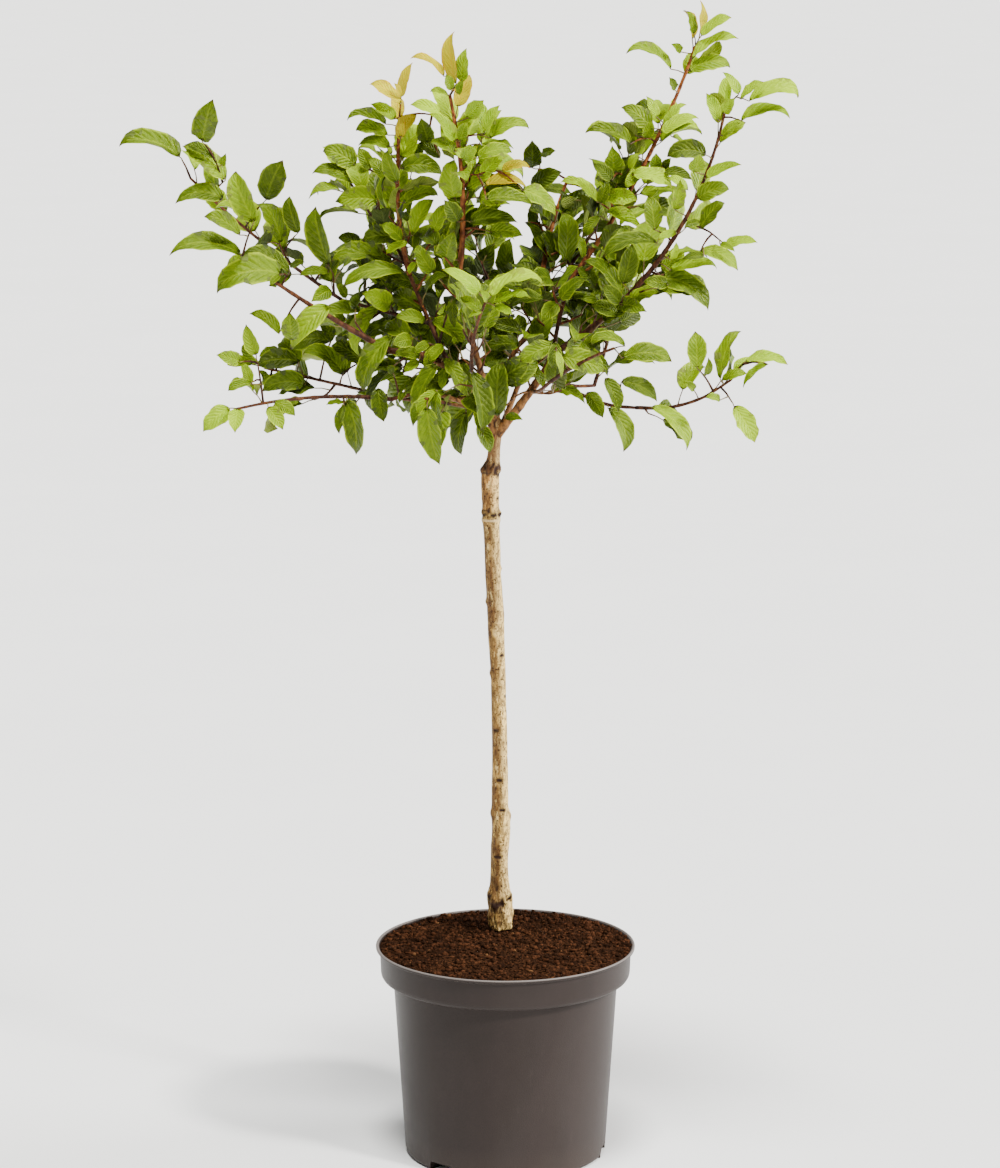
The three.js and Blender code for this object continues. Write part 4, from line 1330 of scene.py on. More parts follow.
def leaf_place(spiral, t, blade):
    """Opening, size and droop of a leaf at a place along its stem."""
    young = max(0.0, (t - YOUNG_FROM) / YOUNG_OVER)
    return {
        "spiral": spiral,
        "opening": OLD_OPENING - OPENING_LOST * t,
        "blade": blade * (1 - YOUNG_SMALLER * young),
        "droop": LEAF_DROOP * (1 - young),
        "young": young,
    }


def tip_leaf(points, blade, draw, tint, rise=None):
    """The last leaf runs on from the tip of its twig."""
    end, heading = node_on(points, 1)
    root = end - heading * TIP_OVERLAP
    way = heading
    if rise is not None:
        way = compass(math.degrees(math.atan2(heading.y, heading.x)), rise)
    place = {"spiral": 90, "opening": 0, "blade": blade, "droop": 0, "young": 1.0}
    grow_leaf(root, way, place, draw, tint)


print("leaf rule ready")

# %% [markdown]
# ## The leaves that give the crown its look
# A crown is known by the leaves that stand against the sky and by those that hang in front. So these
# are placed one by one before the rule fills in the rest. Each is measured in the photograph: the
# pixels of its blade's base and tip, its visible width, how strongly it arches and its tint. The
# limb that carries it gives the depth, so the leaf sits on its limb from any side. A leaf that looks
# narrow for its length is turned edge-on, and one that looks short for its width leans forward.

# %% The measured leaves
# base x and y, tip x and y, width in the photograph's pixels, arch, tint ("under" shows the underside)
# and, for a leaf that hangs in a bow, how far it bends aside
# A leaf tinted deep lies in the crown's shade, and its darker green is partly painted shade
MEASURED = {
    "left_far": (
        (180, 157, 119, 147, 18, 0.9, "mid"), (226, 180, 182, 146, 22, 0.5, "fresh"),
        (214, 158, 184, 145, 12, 0.4, "deep"), (202, 141, 213, 99, 27, 0.4, "mid"),
        (222, 165, 226, 153, 9, 0.3, "fresh"), (223, 199, 175, 204, 17, 1.3, "mid"),
        (266, 200, 283, 160, 26, 0.7, "deep"), (280, 243, 256, 205, 16, 1.0, "mid"),
        (298, 233, 290, 196, 17, 0.7, "mid"), (290, 267, 305, 262, 8, 0.3, "deep"),
        (329, 265, 316, 206, 24, 0.5, "mid"), (329, 272, 300, 276, 10, 0.5, "mid"),
        (391, 306, 361, 293, 22, 0.4, "fresh"), (383, 306, 361, 357, 15, 1.2, "fresh"),
        (358, 314, 347, 333, 12, 0.6, "deep"), (346, 298, 337, 283, 10, 0.6, "mid"),
        (331, 290, 311, 302, 16, 0.6, "fresh"),
    ),
    "left": (
        (254, 222, 235, 171, 26, 0.4, "fresh"), (240, 235, 204, 217, 15, 0.8, "mid"),
        (241, 255, 169, 256, 17, 1.0, "mid"), (290, 272, 240, 256, 15, 0.9, "deep"),
        (282, 275, 217, 294, 28, 1.2, "mid"), (280, 275, 270, 286, 8, 0.4, "mid"),
        (279, 334, 249, 314, 13, 0.9, "mid"), (292, 340, 290, 312, 18, 0.6, "mid"),
        (330, 306, 292, 350, 22, 0.7, "fresh"), (392, 336, 364, 392, 21, 0.9, "mid"),
        (437, 365, 416, 418, 17, 0.7, "mid"), (462, 362, 470, 398, 17, 0.6, "mid"),
        (446, 368, 442, 390, 10, 0.5, "fresh"), (412, 340, 392, 345, 16, 0.7, "mid"),
        (420, 356, 395, 355, 12, 0.7, "mid"), (419, 361, 404, 373, 11, 0.6, "fresh"),
        (443, 358, 462, 393, 17, 0.6, "mid"), (440, 345, 425, 371, 12, 0.5, "fresh"),
        (429, 343, 414, 353, 11, 0.6, "mid"), (453, 298, 455, 328, 12, 0.5, "deep"),
    ),
    "left_low": (
        (256, 355, 246, 324, 17, 0.6, "fresh"), (240, 362, 216, 355, 15, 0.5, "fresh"),
        (250, 384, 241, 363, 12, 0.5, "fresh"), (252, 383, 228, 391, 11, 0.6, "fresh"),
        (230, 408, 203, 432, 19, 0.5, "lime"), (238, 409, 235, 433, 19, 0.5, "lime"),
        (268, 407, 283, 430, 17, 0.5, "fresh"), (274, 402, 295, 416, 12, 0.9, "mid"),
        (346, 401, 356, 455, 22, 0.5, "mid", -1.3), (345, 403, 326, 405, 6, 0.5, "mid"),
        (344, 405, 340, 423, 8, 0.4, "deep"), (378, 388, 384, 422, 19, 0.6, "deep"),
        (404, 392, 399, 404, 8, 0.4, "deep"), (393, 373, 386, 366, 8, 0.4, "deep"),
    ),
    "left_inner": (
        (279, 350, 259, 357, 9, 0.5, "fresh"), (330, 342, 290, 350, 18, 1.2, "deep"),
        (299, 362, 257, 366, 20, 0.8, "deep"), (305, 385, 262, 392, 22, 1.2, "deep"),
        (268, 390, 259, 370, 9, 0.5, "fresh"), (343, 374, 303, 355, 18, 1.2, "mid"),
        (362, 362, 331, 346, 18, 0.8, "deep"), (331, 342, 320, 316, 14, 0.6, "deep"),
        (405, 385, 380, 372, 14, 0.6, "deep"),
    ),
    "left_top": (
        (401, 97, 413, 62, 11, 0.5, "golden"), (401, 104, 369, 85, 12, 0.5, "golden"),
        (401, 98, 394, 83, 6, 0.3, "golden"), (395, 119, 370, 104, 14, 0.5, "lime"),
        (386, 124, 347, 121, 11, 0.8, "mid"), (388, 135, 356, 131, 13, 0.7, "fresh"),
        (390, 147, 358, 146, 11, 1.1, "fresh"), (447, 118, 410, 105, 13, 0.6, "lime"),
        (402, 136, 405, 122, 7, 0.4, "golden"), (428, 142, 421, 118, 17, 0.6, "deep"),
        (397, 182, 388, 150, 15, 0.6, "mid"), (402, 168, 442, 175, 20, 1.2, "mid"),
        (402, 190, 440, 182, 16, 0.6, "under"), (404, 203, 438, 196, 14, 0.8, "mid"),
        (440, 158, 418, 143, 13, 0.6, "deep"),
        (400, 240, 363, 242, 19, 1.1, "deep"), (402, 240, 381, 224, 13, 0.6, "fresh"),
        (408, 243, 386, 254, 9, 0.5, "lime"), (416, 262, 409, 275, 8, 0.4, "fresh"),
        (413, 235, 434, 200, 17, 0.6, "fresh"), (405, 272, 343, 288, 15, 0.9, "mid"),
        (420, 285, 385, 283, 15, 0.6, "deep"), (425, 322, 395, 318, 14, 0.7, "mid"),
        (432, 320, 464, 343, 19, 0.6, "fresh"), (444, 345, 428, 362, 11, 0.6, "fresh"),
    ),
    "left_peak": (
        (355, 165, 323, 152, 19, 1.1, "mid"), (370, 170, 358, 148, 14, 0.6, "mid"),
        (355, 182, 312, 174, 15, 0.9, "mid"), (378, 200, 335, 202, 24, 0.6, "fresh"),
        (385, 180, 368, 158, 13, 0.6, "mid"), (360, 243, 338, 238, 13, 0.6, "deep"),
        (392, 262, 331, 262, 20, 0.8, "mid"),
    ),
    "centre": (
        (456, 84, 455, 31, 15, 0.5, "golden"), (462, 82, 467, 48, 14, 0.5, "lime"),
        (444, 76, 410, 59, 8, 0.8, "golden"), (451, 90, 446, 74, 10, 0.5, "fresh"),
        (458, 94, 464, 80, 8, 0.4, "fresh"), (448, 95, 430, 92, 6, 0.5, "fresh"),
        (468, 118, 484, 100, 17, 0.5, "lime"), (484, 135, 478, 100, 14, 0.5, "lime"),
        (484, 133, 500, 105, 13, 0.5, "lime"), (490, 138, 529, 129, 14, 1.1, "fresh"),
        (461, 141, 468, 122, 11, 0.5, "fresh"), (455, 142, 428, 114, 12, 0.5, "lime"),
        (475, 167, 449, 151, 11, 0.5, "lime"), (463, 160, 478, 146, 15, 0.5, "lime"),
        (478, 158, 512, 153, 14, 0.9, "fresh"), (482, 176, 505, 158, 14, 0.5, "lime"),
        (502, 171, 530, 168, 9, 1.1, "golden"), (485, 186, 528, 190, 11, 0.9, "golden"),
        (455, 152, 430, 143, 11, 0.6, "fresh"), (485, 192, 528, 196, 15, 0.8, "mid"),
        (522, 190, 556, 217, 17, 1.0, "fresh"), (458, 222, 444, 200, 17, 0.6, "deep"),
        (446, 258, 455, 230, 22, 0.5, "mid"), (470, 222, 518, 223, 19, 0.6, "deep"),
        (486, 199, 534, 206, 15, 0.7, "mid"),
        (490, 232, 523, 236, 18, 0.9, "mid"),
    ),
    "back": (
        (480, 275, 495, 243, 21, 0.6, "deep"), (508, 280, 510, 238, 20, 0.6, "deep"),
        (512, 278, 480, 280, 11, 0.6, "deep"),
    ),
    "back_right": (
        (532, 168, 532, 140, 19, 0.6, "deep"), (541, 155, 556, 151, 9, 0.4, "deep"),
        (532, 187, 562, 172, 20, 0.6, "deep"), (533, 190, 572, 194, 10, 0.5, "deep"),
        (590, 192, 560, 183, 9, 0.9, "lime"),
        (525, 222, 552, 275, 14, 0.5, "mid"), (534, 247, 536, 219, 9, 0.5, "deep"),
        (555, 262, 541, 232, 16, 0.6, "deep"),
        (521, 302, 538, 319, 14, 0.6, "mid"),
    ),
    "leader": (
        (565, 262, 562, 212, 20, 0.5, "mid"), (578, 200, 560, 204, 12, 0.5, "under"),
        (583, 258, 577, 235, 9, 0.5, "fresh"), (520, 345, 482, 352, 15, 0.7, "mid"),
        (505, 352, 480, 366, 10, 0.6, "mid"), (520, 330, 492, 326, 15, 0.7, "deep"),
        (515, 340, 490, 337, 13, 0.7, "deep"),
    ),
    "right_top": (
        (700, 34, 700, 0, 8, 0.4, "golden"), (701, 36, 732, 18, 12, 0.4, "lime"),
        (694, 34, 686, 11, 8, 0.4, "fresh"), (692, 59, 739, 39, 10, 0.7, "lime"),
        (681, 52, 671, 44, 8, 0.4, "fresh"), (671, 69, 626, 54, 10, 1.0, "fresh"),
        (689, 71, 730, 68, 14, 0.9, "fresh"), (675, 90, 669, 77, 8, 0.4, "mid"),
        (657, 118, 646, 96, 10, 0.4, "lime"), (663, 125, 687, 105, 8, 0.5, "lime"),
        (661, 133, 699, 119, 11, 0.6, "lime"), (660, 141, 697, 126, 10, 0.6, "lime"),
        (652, 128, 621, 108, 17, 0.6, "mid"), (646, 138, 652, 120, 12, 0.5, "fresh"),
        (637, 136, 623, 124, 9, 0.5, "under"), (631, 144, 586, 133, 13, 0.8, "mid"),
        (636, 156, 640, 137, 11, 0.5, "under"), (614, 172, 612, 145, 21, 0.4, "fresh"),
        (612, 180, 594, 164, 13, 0.6, "deep"), (629, 169, 640, 153, 8, 0.4, "lime"),
        (655, 172, 656, 153, 12, 0.4, "fresh"), (664, 168, 671, 158, 9, 0.4, "mid"),
        (632, 175, 672, 188, 15, 0.9, "lime"), (664, 172, 692, 180, 12, 0.7, "deep"),
        (688, 190, 668, 178, 9, 0.5, "lime"), (640, 172, 625, 188, 13, 0.5, "fresh"),
        (608, 198, 638, 200, 19, 0.6, "lime"), (606, 212, 642, 231, 13, 0.6, "lime"),
        (600, 216, 586, 236, 11, 0.5, "mid"), (597, 202, 570, 180, 10, 0.5, "lime"),
        (600, 203, 608, 181, 13, 0.5, "mid"), (560, 300, 586, 280, 13, 0.6, "mid"),
        (563, 297, 600, 308, 10, 0.6, "mid"), (597, 285, 576, 268, 14, 0.6, "deep"),
        (557, 303, 542, 322, 17, 0.6, "mid"),
    ),
    "right": (
        (706, 155, 667, 157, 20, 1.2, "deep"), (695, 172, 700, 153, 15, 0.4, "fresh"),
        (706, 178, 742, 165, 12, 0.5, "lime"), (722, 136, 740, 123, 10, 0.4, "fresh"),
        (718, 120, 706, 93, 14, 0.4, "lime"), (724, 113, 735, 98, 12, 0.4, "lime"),
        (739, 94, 722, 72, 10, 0.4, "lime"), (741, 99, 764, 82, 9, 0.4, "lime"),
        (749, 101, 798, 98, 14, 0.9, "lime"), (741, 121, 790, 119, 11, 0.9, "lime"),
        (698, 199, 729, 190, 17, 1.1, "mid"), (675, 210, 680, 180, 15, 0.5, "fresh"),
        (655, 230, 648, 195, 19, 0.5, "mid"), (676, 232, 658, 240, 9, 0.4, "lime"),
        (672, 260, 676, 242, 8, 0.4, "lime"), (657, 243, 603, 258, 14, 1.2, "deep"),
        (623, 284, 632, 243, 22, 0.5, "deep"), (700, 229, 725, 203, 15, 0.5, "mid"),
        (700, 222, 684, 228, 9, 0.5, "mid"), (726, 246, 758, 243, 11, 0.9, "lime"),
        (700, 251, 738, 271, 14, 1.1, "fresh"), (720, 244, 735, 252, 8, 0.4, "fresh"),
        (704, 256, 682, 260, 9, 0.5, "deep"), (670, 270, 717, 270, 11, 0.6, "lime"),
        (662, 278, 708, 311, 22, 1.1, "mid"), (668, 285, 643, 282, 14, 0.6, "mid"),
        (627, 303, 660, 292, 13, 0.6, "fresh"), (620, 293, 583, 262, 13, 0.9, "mid"),
        (620, 303, 602, 285, 16, 0.6, "deep"), (622, 305, 647, 312, 18, 0.6, "mid"),
        (618, 315, 592, 305, 15, 0.6, "deep"),
    ),
    "right_low": (
        (697, 368, 695, 331, 20, 0.4, "fresh"), (706, 375, 708, 357, 8, 0.4, "mid"),
        (720, 379, 740, 330, 14, 0.5, "fresh"), (722, 380, 747, 374, 10, 0.5, "fresh"),
        (745, 362, 788, 365, 12, 0.9, "lime"), (768, 364, 743, 388, 8, 0.5, "fresh"),
        (734, 406, 755, 443, 21, 0.4, "lime"), (720, 400, 705, 398, 8, 0.5, "fresh"),
        (694, 390, 683, 382, 9, 0.4, "fresh"), (651, 407, 686, 451, 15, 1.1, "fresh"),
        (621, 382, 657, 402, 15, 0.9, "deep"), (608, 408, 623, 452, 17, 0.8, "mid", -1.0),
        (605, 378, 618, 412, 16, 0.6, "deep"), (588, 392, 603, 418, 17, 0.5, "mid"),
        (563, 388, 585, 404, 9, 0.5, "mid"),
    ),
    "front_right": (
        (562, 357, 605, 372, 24, 0.5, "mid"), (622, 358, 672, 362, 20, 1.0, "mid"),
        (625, 346, 592, 346, 9, 1.2, "mid"), (553, 345, 520, 362, 20, 0.6, "mid"),
        (556, 342, 552, 368, 14, 0.6, "deep"), (556, 350, 561, 379, 7, 0.5, "fresh"),
        (520, 360, 545, 391, 13, 0.6, "mid"), (497, 416, 503, 362, 27, 0.4, "deep"),
        (505, 418, 523, 420, 9, 0.5, "mid"),
    ),
    "front": (
        (480, 294, 441, 270, 14, 0.6, "lime"), (481, 311, 460, 298, 13, 0.5, "fresh"),
        (487, 300, 480, 290, 8, 0.4, "lime"), (490, 297, 543, 286, 11, 1.0, "lime"),
        (493, 305, 531, 299, 8, 0.6, "lime"), (495, 306, 513, 315, 9, 0.5, "lime"),
        (482, 312, 468, 318, 6, 0.4, "lime"), (472, 371, 481, 431, 22, 0.5, "deep"),
        (488, 407, 486, 426, 9, 0.5, "fresh"),
    ),
    "front_low": (
        (427, 407, 440, 465, 24, 0.5, "mid"), (436, 391, 444, 432, 12, 0.6, "fresh"),
        (450, 395, 443, 424, 8, 0.5, "under"), (466, 412, 462, 455, 16, 0.9, "deep"),
        (437, 390, 418, 415, 11, 0.5, "fresh"), (478, 424, 490, 453, 16, 0.6, "mid"),
    ),
}
print(sum(len(rows) for rows in MEASURED.values()), "leaves measured")

# %% Between the photograph and the crown
PHOTO_SIZE = (1000, 1168)
PHOTO_FOCUS = camera_data.lens / camera_data.sensor_height * PHOTO_SIZE[1]
TO_CAMERA = camera.matrix_basis.inverted()


def in_photo(place):
    """The pixel of the photograph where a place in millimetres shows."""
    seen = TO_CAMERA @ (place * MM)
    x = PHOTO_SIZE[0] / 2 - PHOTO_FOCUS * seen.x / seen.z
    y = PHOTO_SIZE[1] / 2 + PHOTO_FOCUS * seen.y / seen.z
    return Vector((x, y))


def behind_pixel(x, y, depth):
    """The place in millimetres that shows at a pixel, at a given distance behind the pot's axis."""
    ray = Vector((x - PHOTO_SIZE[0] / 2, PHOTO_SIZE[1] / 2 - y, -PHOTO_FOCUS))
    way = camera.matrix_basis.to_3x3() @ ray
    start = camera.matrix_basis.translation
    return (start + way * (depth * MM - start.y) / way.y) / MM


fork = in_photo(trunk_point(TRUNK_HEIGHT))
print("the trunk's top shows at pixel", [round(c) for c in fork])

# %% Aim a leaf
MOST_EDGE_ON = 0.15
OUTWARD_FACE = 0.4
AIM_ROUNDS = 3
AIM_EASING = 0.9


def aim_leaf(leaf, base, tip, showing, under):
    """Turns and scales a leaf until its blade runs from base to tip, its width showing as asked."""
    chord = tip - base
    leaf["along"] = chord.normalized()
    leaf["blade"] = chord.length
    leaf["root"] = base
    leaf["stalk"] = 0.0
    turn = math.acos(min(1.0, max(MOST_EDGE_ON, showing)))
    for _ in range(AIM_ROUNDS):
        along = leaf["along"]
        view = (camera.matrix_basis.translation / MM - base).normalized()
        facing = (view - along * view.dot(along)).normalized()
        upward = along.cross(facing)
        if upward.dot(UP + Vector((base.x, base.y, 0)).normalized() * OUTWARD_FACE) < 0:
            upward = -upward
        facing = facing * math.cos(turn) * (-1 if under else 1)
        leaf["normal"] = (facing + upward * math.sin(turn)).normalized()
        leaf["spine"] = spine_of(leaf)
        reached = leaf["spine"][-1][0] - base
        leaf["along"] = (along * chord.length + (chord - reached) * AIM_EASING).normalized()
        leaf["blade"] *= chord.length / reached.length
    leaf["spine"] = spine_of(leaf)


print("a placed leaf is aimed from its base to its tip")


# %% Place one measured leaf
# Width over length of a whole blade, how much wider a blade shows, and the slimmest it may be
BLADE_SHAPE = 0.56
SHOWN_WIDER = 1.02
NARROWEST = 0.68
# The least length of a blade: this share of the length that shows, and so many millimetres more
LEAST_SHARE = 0.6
LEAST_MORE = 8
PLACED_STALK = 12.0
LONGEST_STALK = 16.0
CLOSEST_OUT = 7.0
HALF_YOUNG = 0.5
HANGING_CURL = 0.6
RISING_CURL = 1.2
PLACED_FOLD = 0.85
PLACED_TWIST = 0.35
OWN_SWAY = 0.2
ARCH_SWAY = 0.6
STEM_STEP = 4.0
TWIG_BOW = 0.08
RUDDY_SHOOTS = ("right_top", "left_top", "centre", "back_right")
RUDDY_AGE = 0.35
TWIG_AGE = 0.05
# Limbs whose deep leaves hang behind them, and the distances from the limb that are tried
BACK_MASSES = ("back", "back_right", "leader", "left_peak", "left_top")
DEPTH_TRIES = (1.0, 1.7, 2.5, -1.0, 3.4, -1.9, 4.4, -2.9, 5.5, -4.0, 7.0, 8.5, 10.0)


def side_twig(name, points, radii, nodes, newest):
    """A side twig with its age at both ends, redder on the masses whose shoots are."""
    ruddy = RUDDY_AGE if name in RUDDY_SHOOTS else 0.0
    ages = {"age": TWIG_AGE + ruddy, "age_end": newest + ruddy}
    return {"points": points, "radii": radii, "nodes": nodes, **ages}


def place_leaf(name, row, stems):
    """Places one measured leaf at the depth of its limb, with a twig where the limb is far."""
    base_x, base_y, tip_x, tip_y, width, arch, tint, *bow_aside = row
    target = Vector((base_x, base_y))
    stem = min(stems, key=lambda point: (in_photo(point) - target).length)
    depth = stem.y
    per_pixel = (behind_pixel(base_x + 1, base_y, depth) - behind_pixel(base_x, base_y, depth)).length
    length_shown = math.hypot(tip_x - base_x, tip_y - base_y)
    length = length_shown * per_pixel
    full = max(length, width * per_pixel / BLADE_SHAPE, LEAST_SHARE * length + LEAST_MORE)
    lean = math.sqrt(full * full - length * length)
    aside = (in_photo(stem) - target).length * per_pixel
    out = max(CLOSEST_OUT, math.sqrt(max(0.0, PLACED_STALK**2 - aside**2)))
    side = 1 if tint == "deep" and name in BACK_MASSES else -1
    leftward = 1 if tip_x < base_x else -1
    showing = width * per_pixel / (BLADE_SHAPE * SHOWN_WIDER * full)
    slim = max(NARROWEST, min(1.0, showing**0.5))
    for reach in DEPTH_TRIES:
        base_depth = depth + side * out * reach
        base = behind_pixel(base_x, base_y, base_depth)
        tip = behind_pixel(tip_x, tip_y, base_depth - lean)
        leaf = {}
        bend_leaf(leaf, HALF_YOUNG)
        leaf["bend"] = arch
        leaf["curl"] *= HANGING_CURL if tip_y > base_y else RISING_CURL
        leaf["fold"] *= PLACED_FOLD
        leaf["twist"] *= PLACED_TWIST
        own_sway = OWN_SWAY * leaf["sway"]
        arch_sway = ARCH_SWAY * arch * leftward * abs(tip_x - base_x) / length_shown
        leaf["sway"] = bow_aside[0] if bow_aside else own_sway + arch_sway
        leaf["width"] = BLADE_SHAPE * slim
        aim_leaf(leaf, base, tip, showing / slim, tint == "under")
        if has_room(leaf):
            break
    else:
        return False
    leaf["tint"] = "fresh" if tint == "under" else tint
    if (base - stem).length > LONGEST_STALK:
        bow = UP * TWIG_BOW * (base - stem).length
        points = [stem, stem.lerp(base, 0.4) + bow, stem.lerp(base, 0.78) + bow * 0.6]
        twigs.append(side_twig(name, points, (1.1, 0.65), 2, 0.2))
        stems += eased(points, STEM_STEP)[2:]
        stem = points[-1]
    leaf["stem"] = stem
    leaves.append(leaf)
    return True


print("depths are tried in this order:", DEPTH_TRIES)


# %% Place them all
def shoot_of(mass):
    """The path of a mass's leading shoot, from the tip of its bough."""
    return limb_path(limbs[mass["name"]][-1], mass, SHOOT_STEP)


twigs = []
left_out = 0
for mass in MASSES:
    name = mass["name"]
    stems = eased(limbs[name] + shoot_of(mass)[1:], STEM_STEP)
    for row in MEASURED.get(name, ()):
        if not place_leaf(name, row, stems):
            left_out += 1
            print("no room", name, row)
print(len(leaves), "leaves placed,", left_out, "left out for want of room,", len(twigs), "twigs added")

# %% What the placed leaves cover
# The most of a grown leaf that may hide placed ones, and that may show beside them
BEFORE_SHARE = 0.2
OPEN_OUTSIDE = 0.3
OPEN_IN_HEART = 1.0
CELL = 3
# The dense middle of the crown, in millimetres
HEART = Vector((-20, 25, 842))
HEART_SIZE = Vector((160, 160, 138))
# Sky and wood that show in and under the crown: x, y and radius in the photograph's pixels
OPEN_SKY = (
    (552, 420, 24), (588, 430, 26), (524, 434, 14), (628, 432, 24), (372, 440, 16), (404, 440, 18),
    (451, 449, 7), (515, 465, 20), (470, 480, 20), (420, 480, 18), (660, 345, 14), (690, 345, 12),
    (566, 150, 12), (588, 178, 6), (355, 219, 8), (692, 104, 7), (528, 405, 9), (352, 378, 8),
    (300, 310, 10), (560, 330, 6), (640, 340, 8), (470, 345, 4), (352, 275, 6), (330, 230, 10),
    (500, 426, 10), (455, 437, 5), (255, 300, 16), (215, 240, 14), (330, 378, 6), (610, 345, 5),
    (410, 70, 14), (500, 88, 14), (345, 110, 14), (655, 85, 14),
)
nearest = {}


def in_heart(place):
    """Whether a place lies in the dense middle of the crown."""
    away = place - HEART
    return sum((away[k] / HEART_SIZE[k]) ** 2 for k in range(3)) < 1


def leaf_cells(leaf, across=(-1.0, 0.0, 1.0)):
    """The cells of the photograph that a leaf shows in, and its depth in each."""
    for point in blade_points(leaf, range(1, BLADE_ROWS), across):
        pixel = in_photo(point)
        yield int(pixel.x // CELL), int(pixel.y // CELL), point.y


for leaf in leaves:
    for x, y, depth in leaf_cells(leaf, (-1.0, -0.6, -0.2, 0.2, 0.6, 1.0)):
        for near in ((x + i, y + k) for i in (-1, 0, 1) for k in (-1, 0, 1)):
            nearest[near] = min(depth, nearest.get(near, depth))
print(len(nearest), "cells of", CELL, "pixels covered")


def stays_behind(leaf):
    """Whether a leaf grown by the rule leaves the measured ones in view and their sky open."""
    before = 0
    outside = 0
    for x, y, depth in leaf_cells(leaf):
        if any(math.hypot(x * CELL - sky[0], y * CELL - sky[1]) < sky[2] for sky in OPEN_SKY):
            return False
        if (x, y) not in nearest:
            outside += 1
        elif depth < nearest[x, y] + 1:
            before += 1
    total = 3 * (BLADE_ROWS - 1)
    open_share = OPEN_IN_HEART if in_heart(leaf["spine"][6][0]) else OPEN_OUTSIDE
    return before <= BEFORE_SHARE * total and outside <= open_share * total


# %% Tints along a shoot
TINTS = ("deep", "mid", "fresh", "lime", "golden")
TINT_BLUR = 0.16
DEEP_SHARE = 0.62


def tint_of(mass, t, inner):
    """Which spray of colour a leaf takes from its place along the shoot."""
    fresh, lime, golden = mass["sprays"]
    t += (looks() - 0.5) * TINT_BLUR
    if t > golden:
        return "golden"
    if t > lime and not inner:
        return "lime"
    if t > fresh:
        return "fresh"
    # Inner leaves often take the dark deep tint, partly painted shade inside the crown
    return "deep" if inner and looks() < DEEP_SHARE else "mid"


def shortened(points, end):
    """The part of a path up to a fraction of it."""
    last = len(points) - 1
    return [point_along(points, end * i / last) for i in range(last + 1)]


print("tints", TINTS)


# %% Side twigs
SPUR_RISE = 0.5
SPUR_WANDER = 0.3
TIP_SIZE = 0.85
SPUR_LAST = 0.4


def grow_spur(mass, root, heading, length, seed, t, leaf_count=3, size=0.92):
    """A side twig with a few leaves of its own and one at its tip. It ends at its last leaf."""
    draw = seeded(seed)
    points = [root]
    rising = (heading + UP * SPUR_RISE).normalized()
    for i in range(2):
        way = (heading.lerp(rising, i / 2) + scatter(draw, SPUR_WANDER)).normalized()
        points.append(points[i] + way * length / 2)
    end = 0.0
    count = len(leaves)
    for i in range(1, leaf_count + 1):
        along = i / (leaf_count + SPUR_LAST)
        place = leaf_place(seed * 53 + i * LEAF_SPIRAL, along / 2, mass["leaf"] * size)
        node_root, node_heading = node_on(points, along)
        grow_leaf(node_root, node_heading, place, seeded(seed + i * 7), tint_of(mass, t - 0.1, True))
        if len(leaves) > count:
            end = along
            count = len(leaves)
    tip_leaf(points, mass["leaf"] * size * TIP_SIZE, seeded(seed + 1), tint_of(mass, t, False))
    if len(leaves) > count:
        end = 1.0
    if end > 0:
        twigs.append(side_twig(mass["name"], shortened(points, end), (1.2, 0.7), leaf_count, 0.25))


print("a side twig has 2 or 3 leaves and one at its tip")


# %% Leading shoots
MASS_TURN = 40
SPUR_AHEAD = 70
SPUR_OPENING = 52
SPUR_SHORTER = 0.5
SPUR_EVERY = 3
SPURS_UP_TO = 0.75
RUDDY_GIRTH = (1.15, 1.25)


def node_count(mass):
    """How many nodes a mass's leading shoot has."""
    return int(mass["length"] / NODE_STEP + 0.5)


def node_seed(index, i, more=0):
    """A seed of its own for each node of each mass."""
    return SEED + more + index * 997 + i * 31


def grow_mass(mass, index):
    """A leading shoot from its tip inwards: a leaf at each node and a side twig at some."""
    points = shoot_of(mass)
    radii = (bough_of[mass["name"]]["radius"] * BOUGH_TAPER, SHOOT_TIP_RADIUS)
    nodes = node_count(mass)
    warm = mass["name"] in RUDDY_SHOOTS
    if warm:
        radii = (radii[0] * RUDDY_GIRTH[0], radii[1] * RUDDY_GIRTH[1])
    ages = {"age": 0.5 if warm else 0.08, "age_end": 0.95 if warm else 0.3}
    twigs.append({"points": points, "radii": radii, "nodes": nodes, "leading": True, **ages})
    tip_leaf(points, mass["tip"], seeded(SEED + index), tint_of(mass, 1.05, False), mass["tip_rise"])
    for i in range(nodes - 1, -1, -1):
        t = (i + 0.5) / nodes
        seed = node_seed(index, i)
        root, heading = node_on(points, t)
        spiral = i * LEAF_SPIRAL + index * MASS_TURN
        place = leaf_place(spiral, t, mass["leaf"])
        grow_leaf(root, heading, place, seeded(seed), tint_of(mass, t, False))
        if i % SPUR_EVERY == 0 and t < SPURS_UP_TO:
            way = sideways(heading, spiral + SPUR_AHEAD, SPUR_OPENING)
            grow_spur(mass, root, way, mass["spur"] * (1 - SPUR_SHORTER * t), seed + 5, t)


for index, mass in enumerate(MASSES):
    grow_mass(mass, index)
print(len(leaves), "leaves on", len(twigs), "twigs in the solid model's places")


# %% Finer twigs within the same reach
FINER_SEED = 50000
WOOD_SEED = 90000
FINER_TURNS = (200, 320)
FINER_UP_TO = 0.7
FINER_LENGTH = 0.62
FINER_OPENING = 50
WOOD_SPUR = 26
WOOD_TURN = 75
WOOD_OPENING = 55
WOOD_FROM, WOOD_OVER = 0.25, 0.72


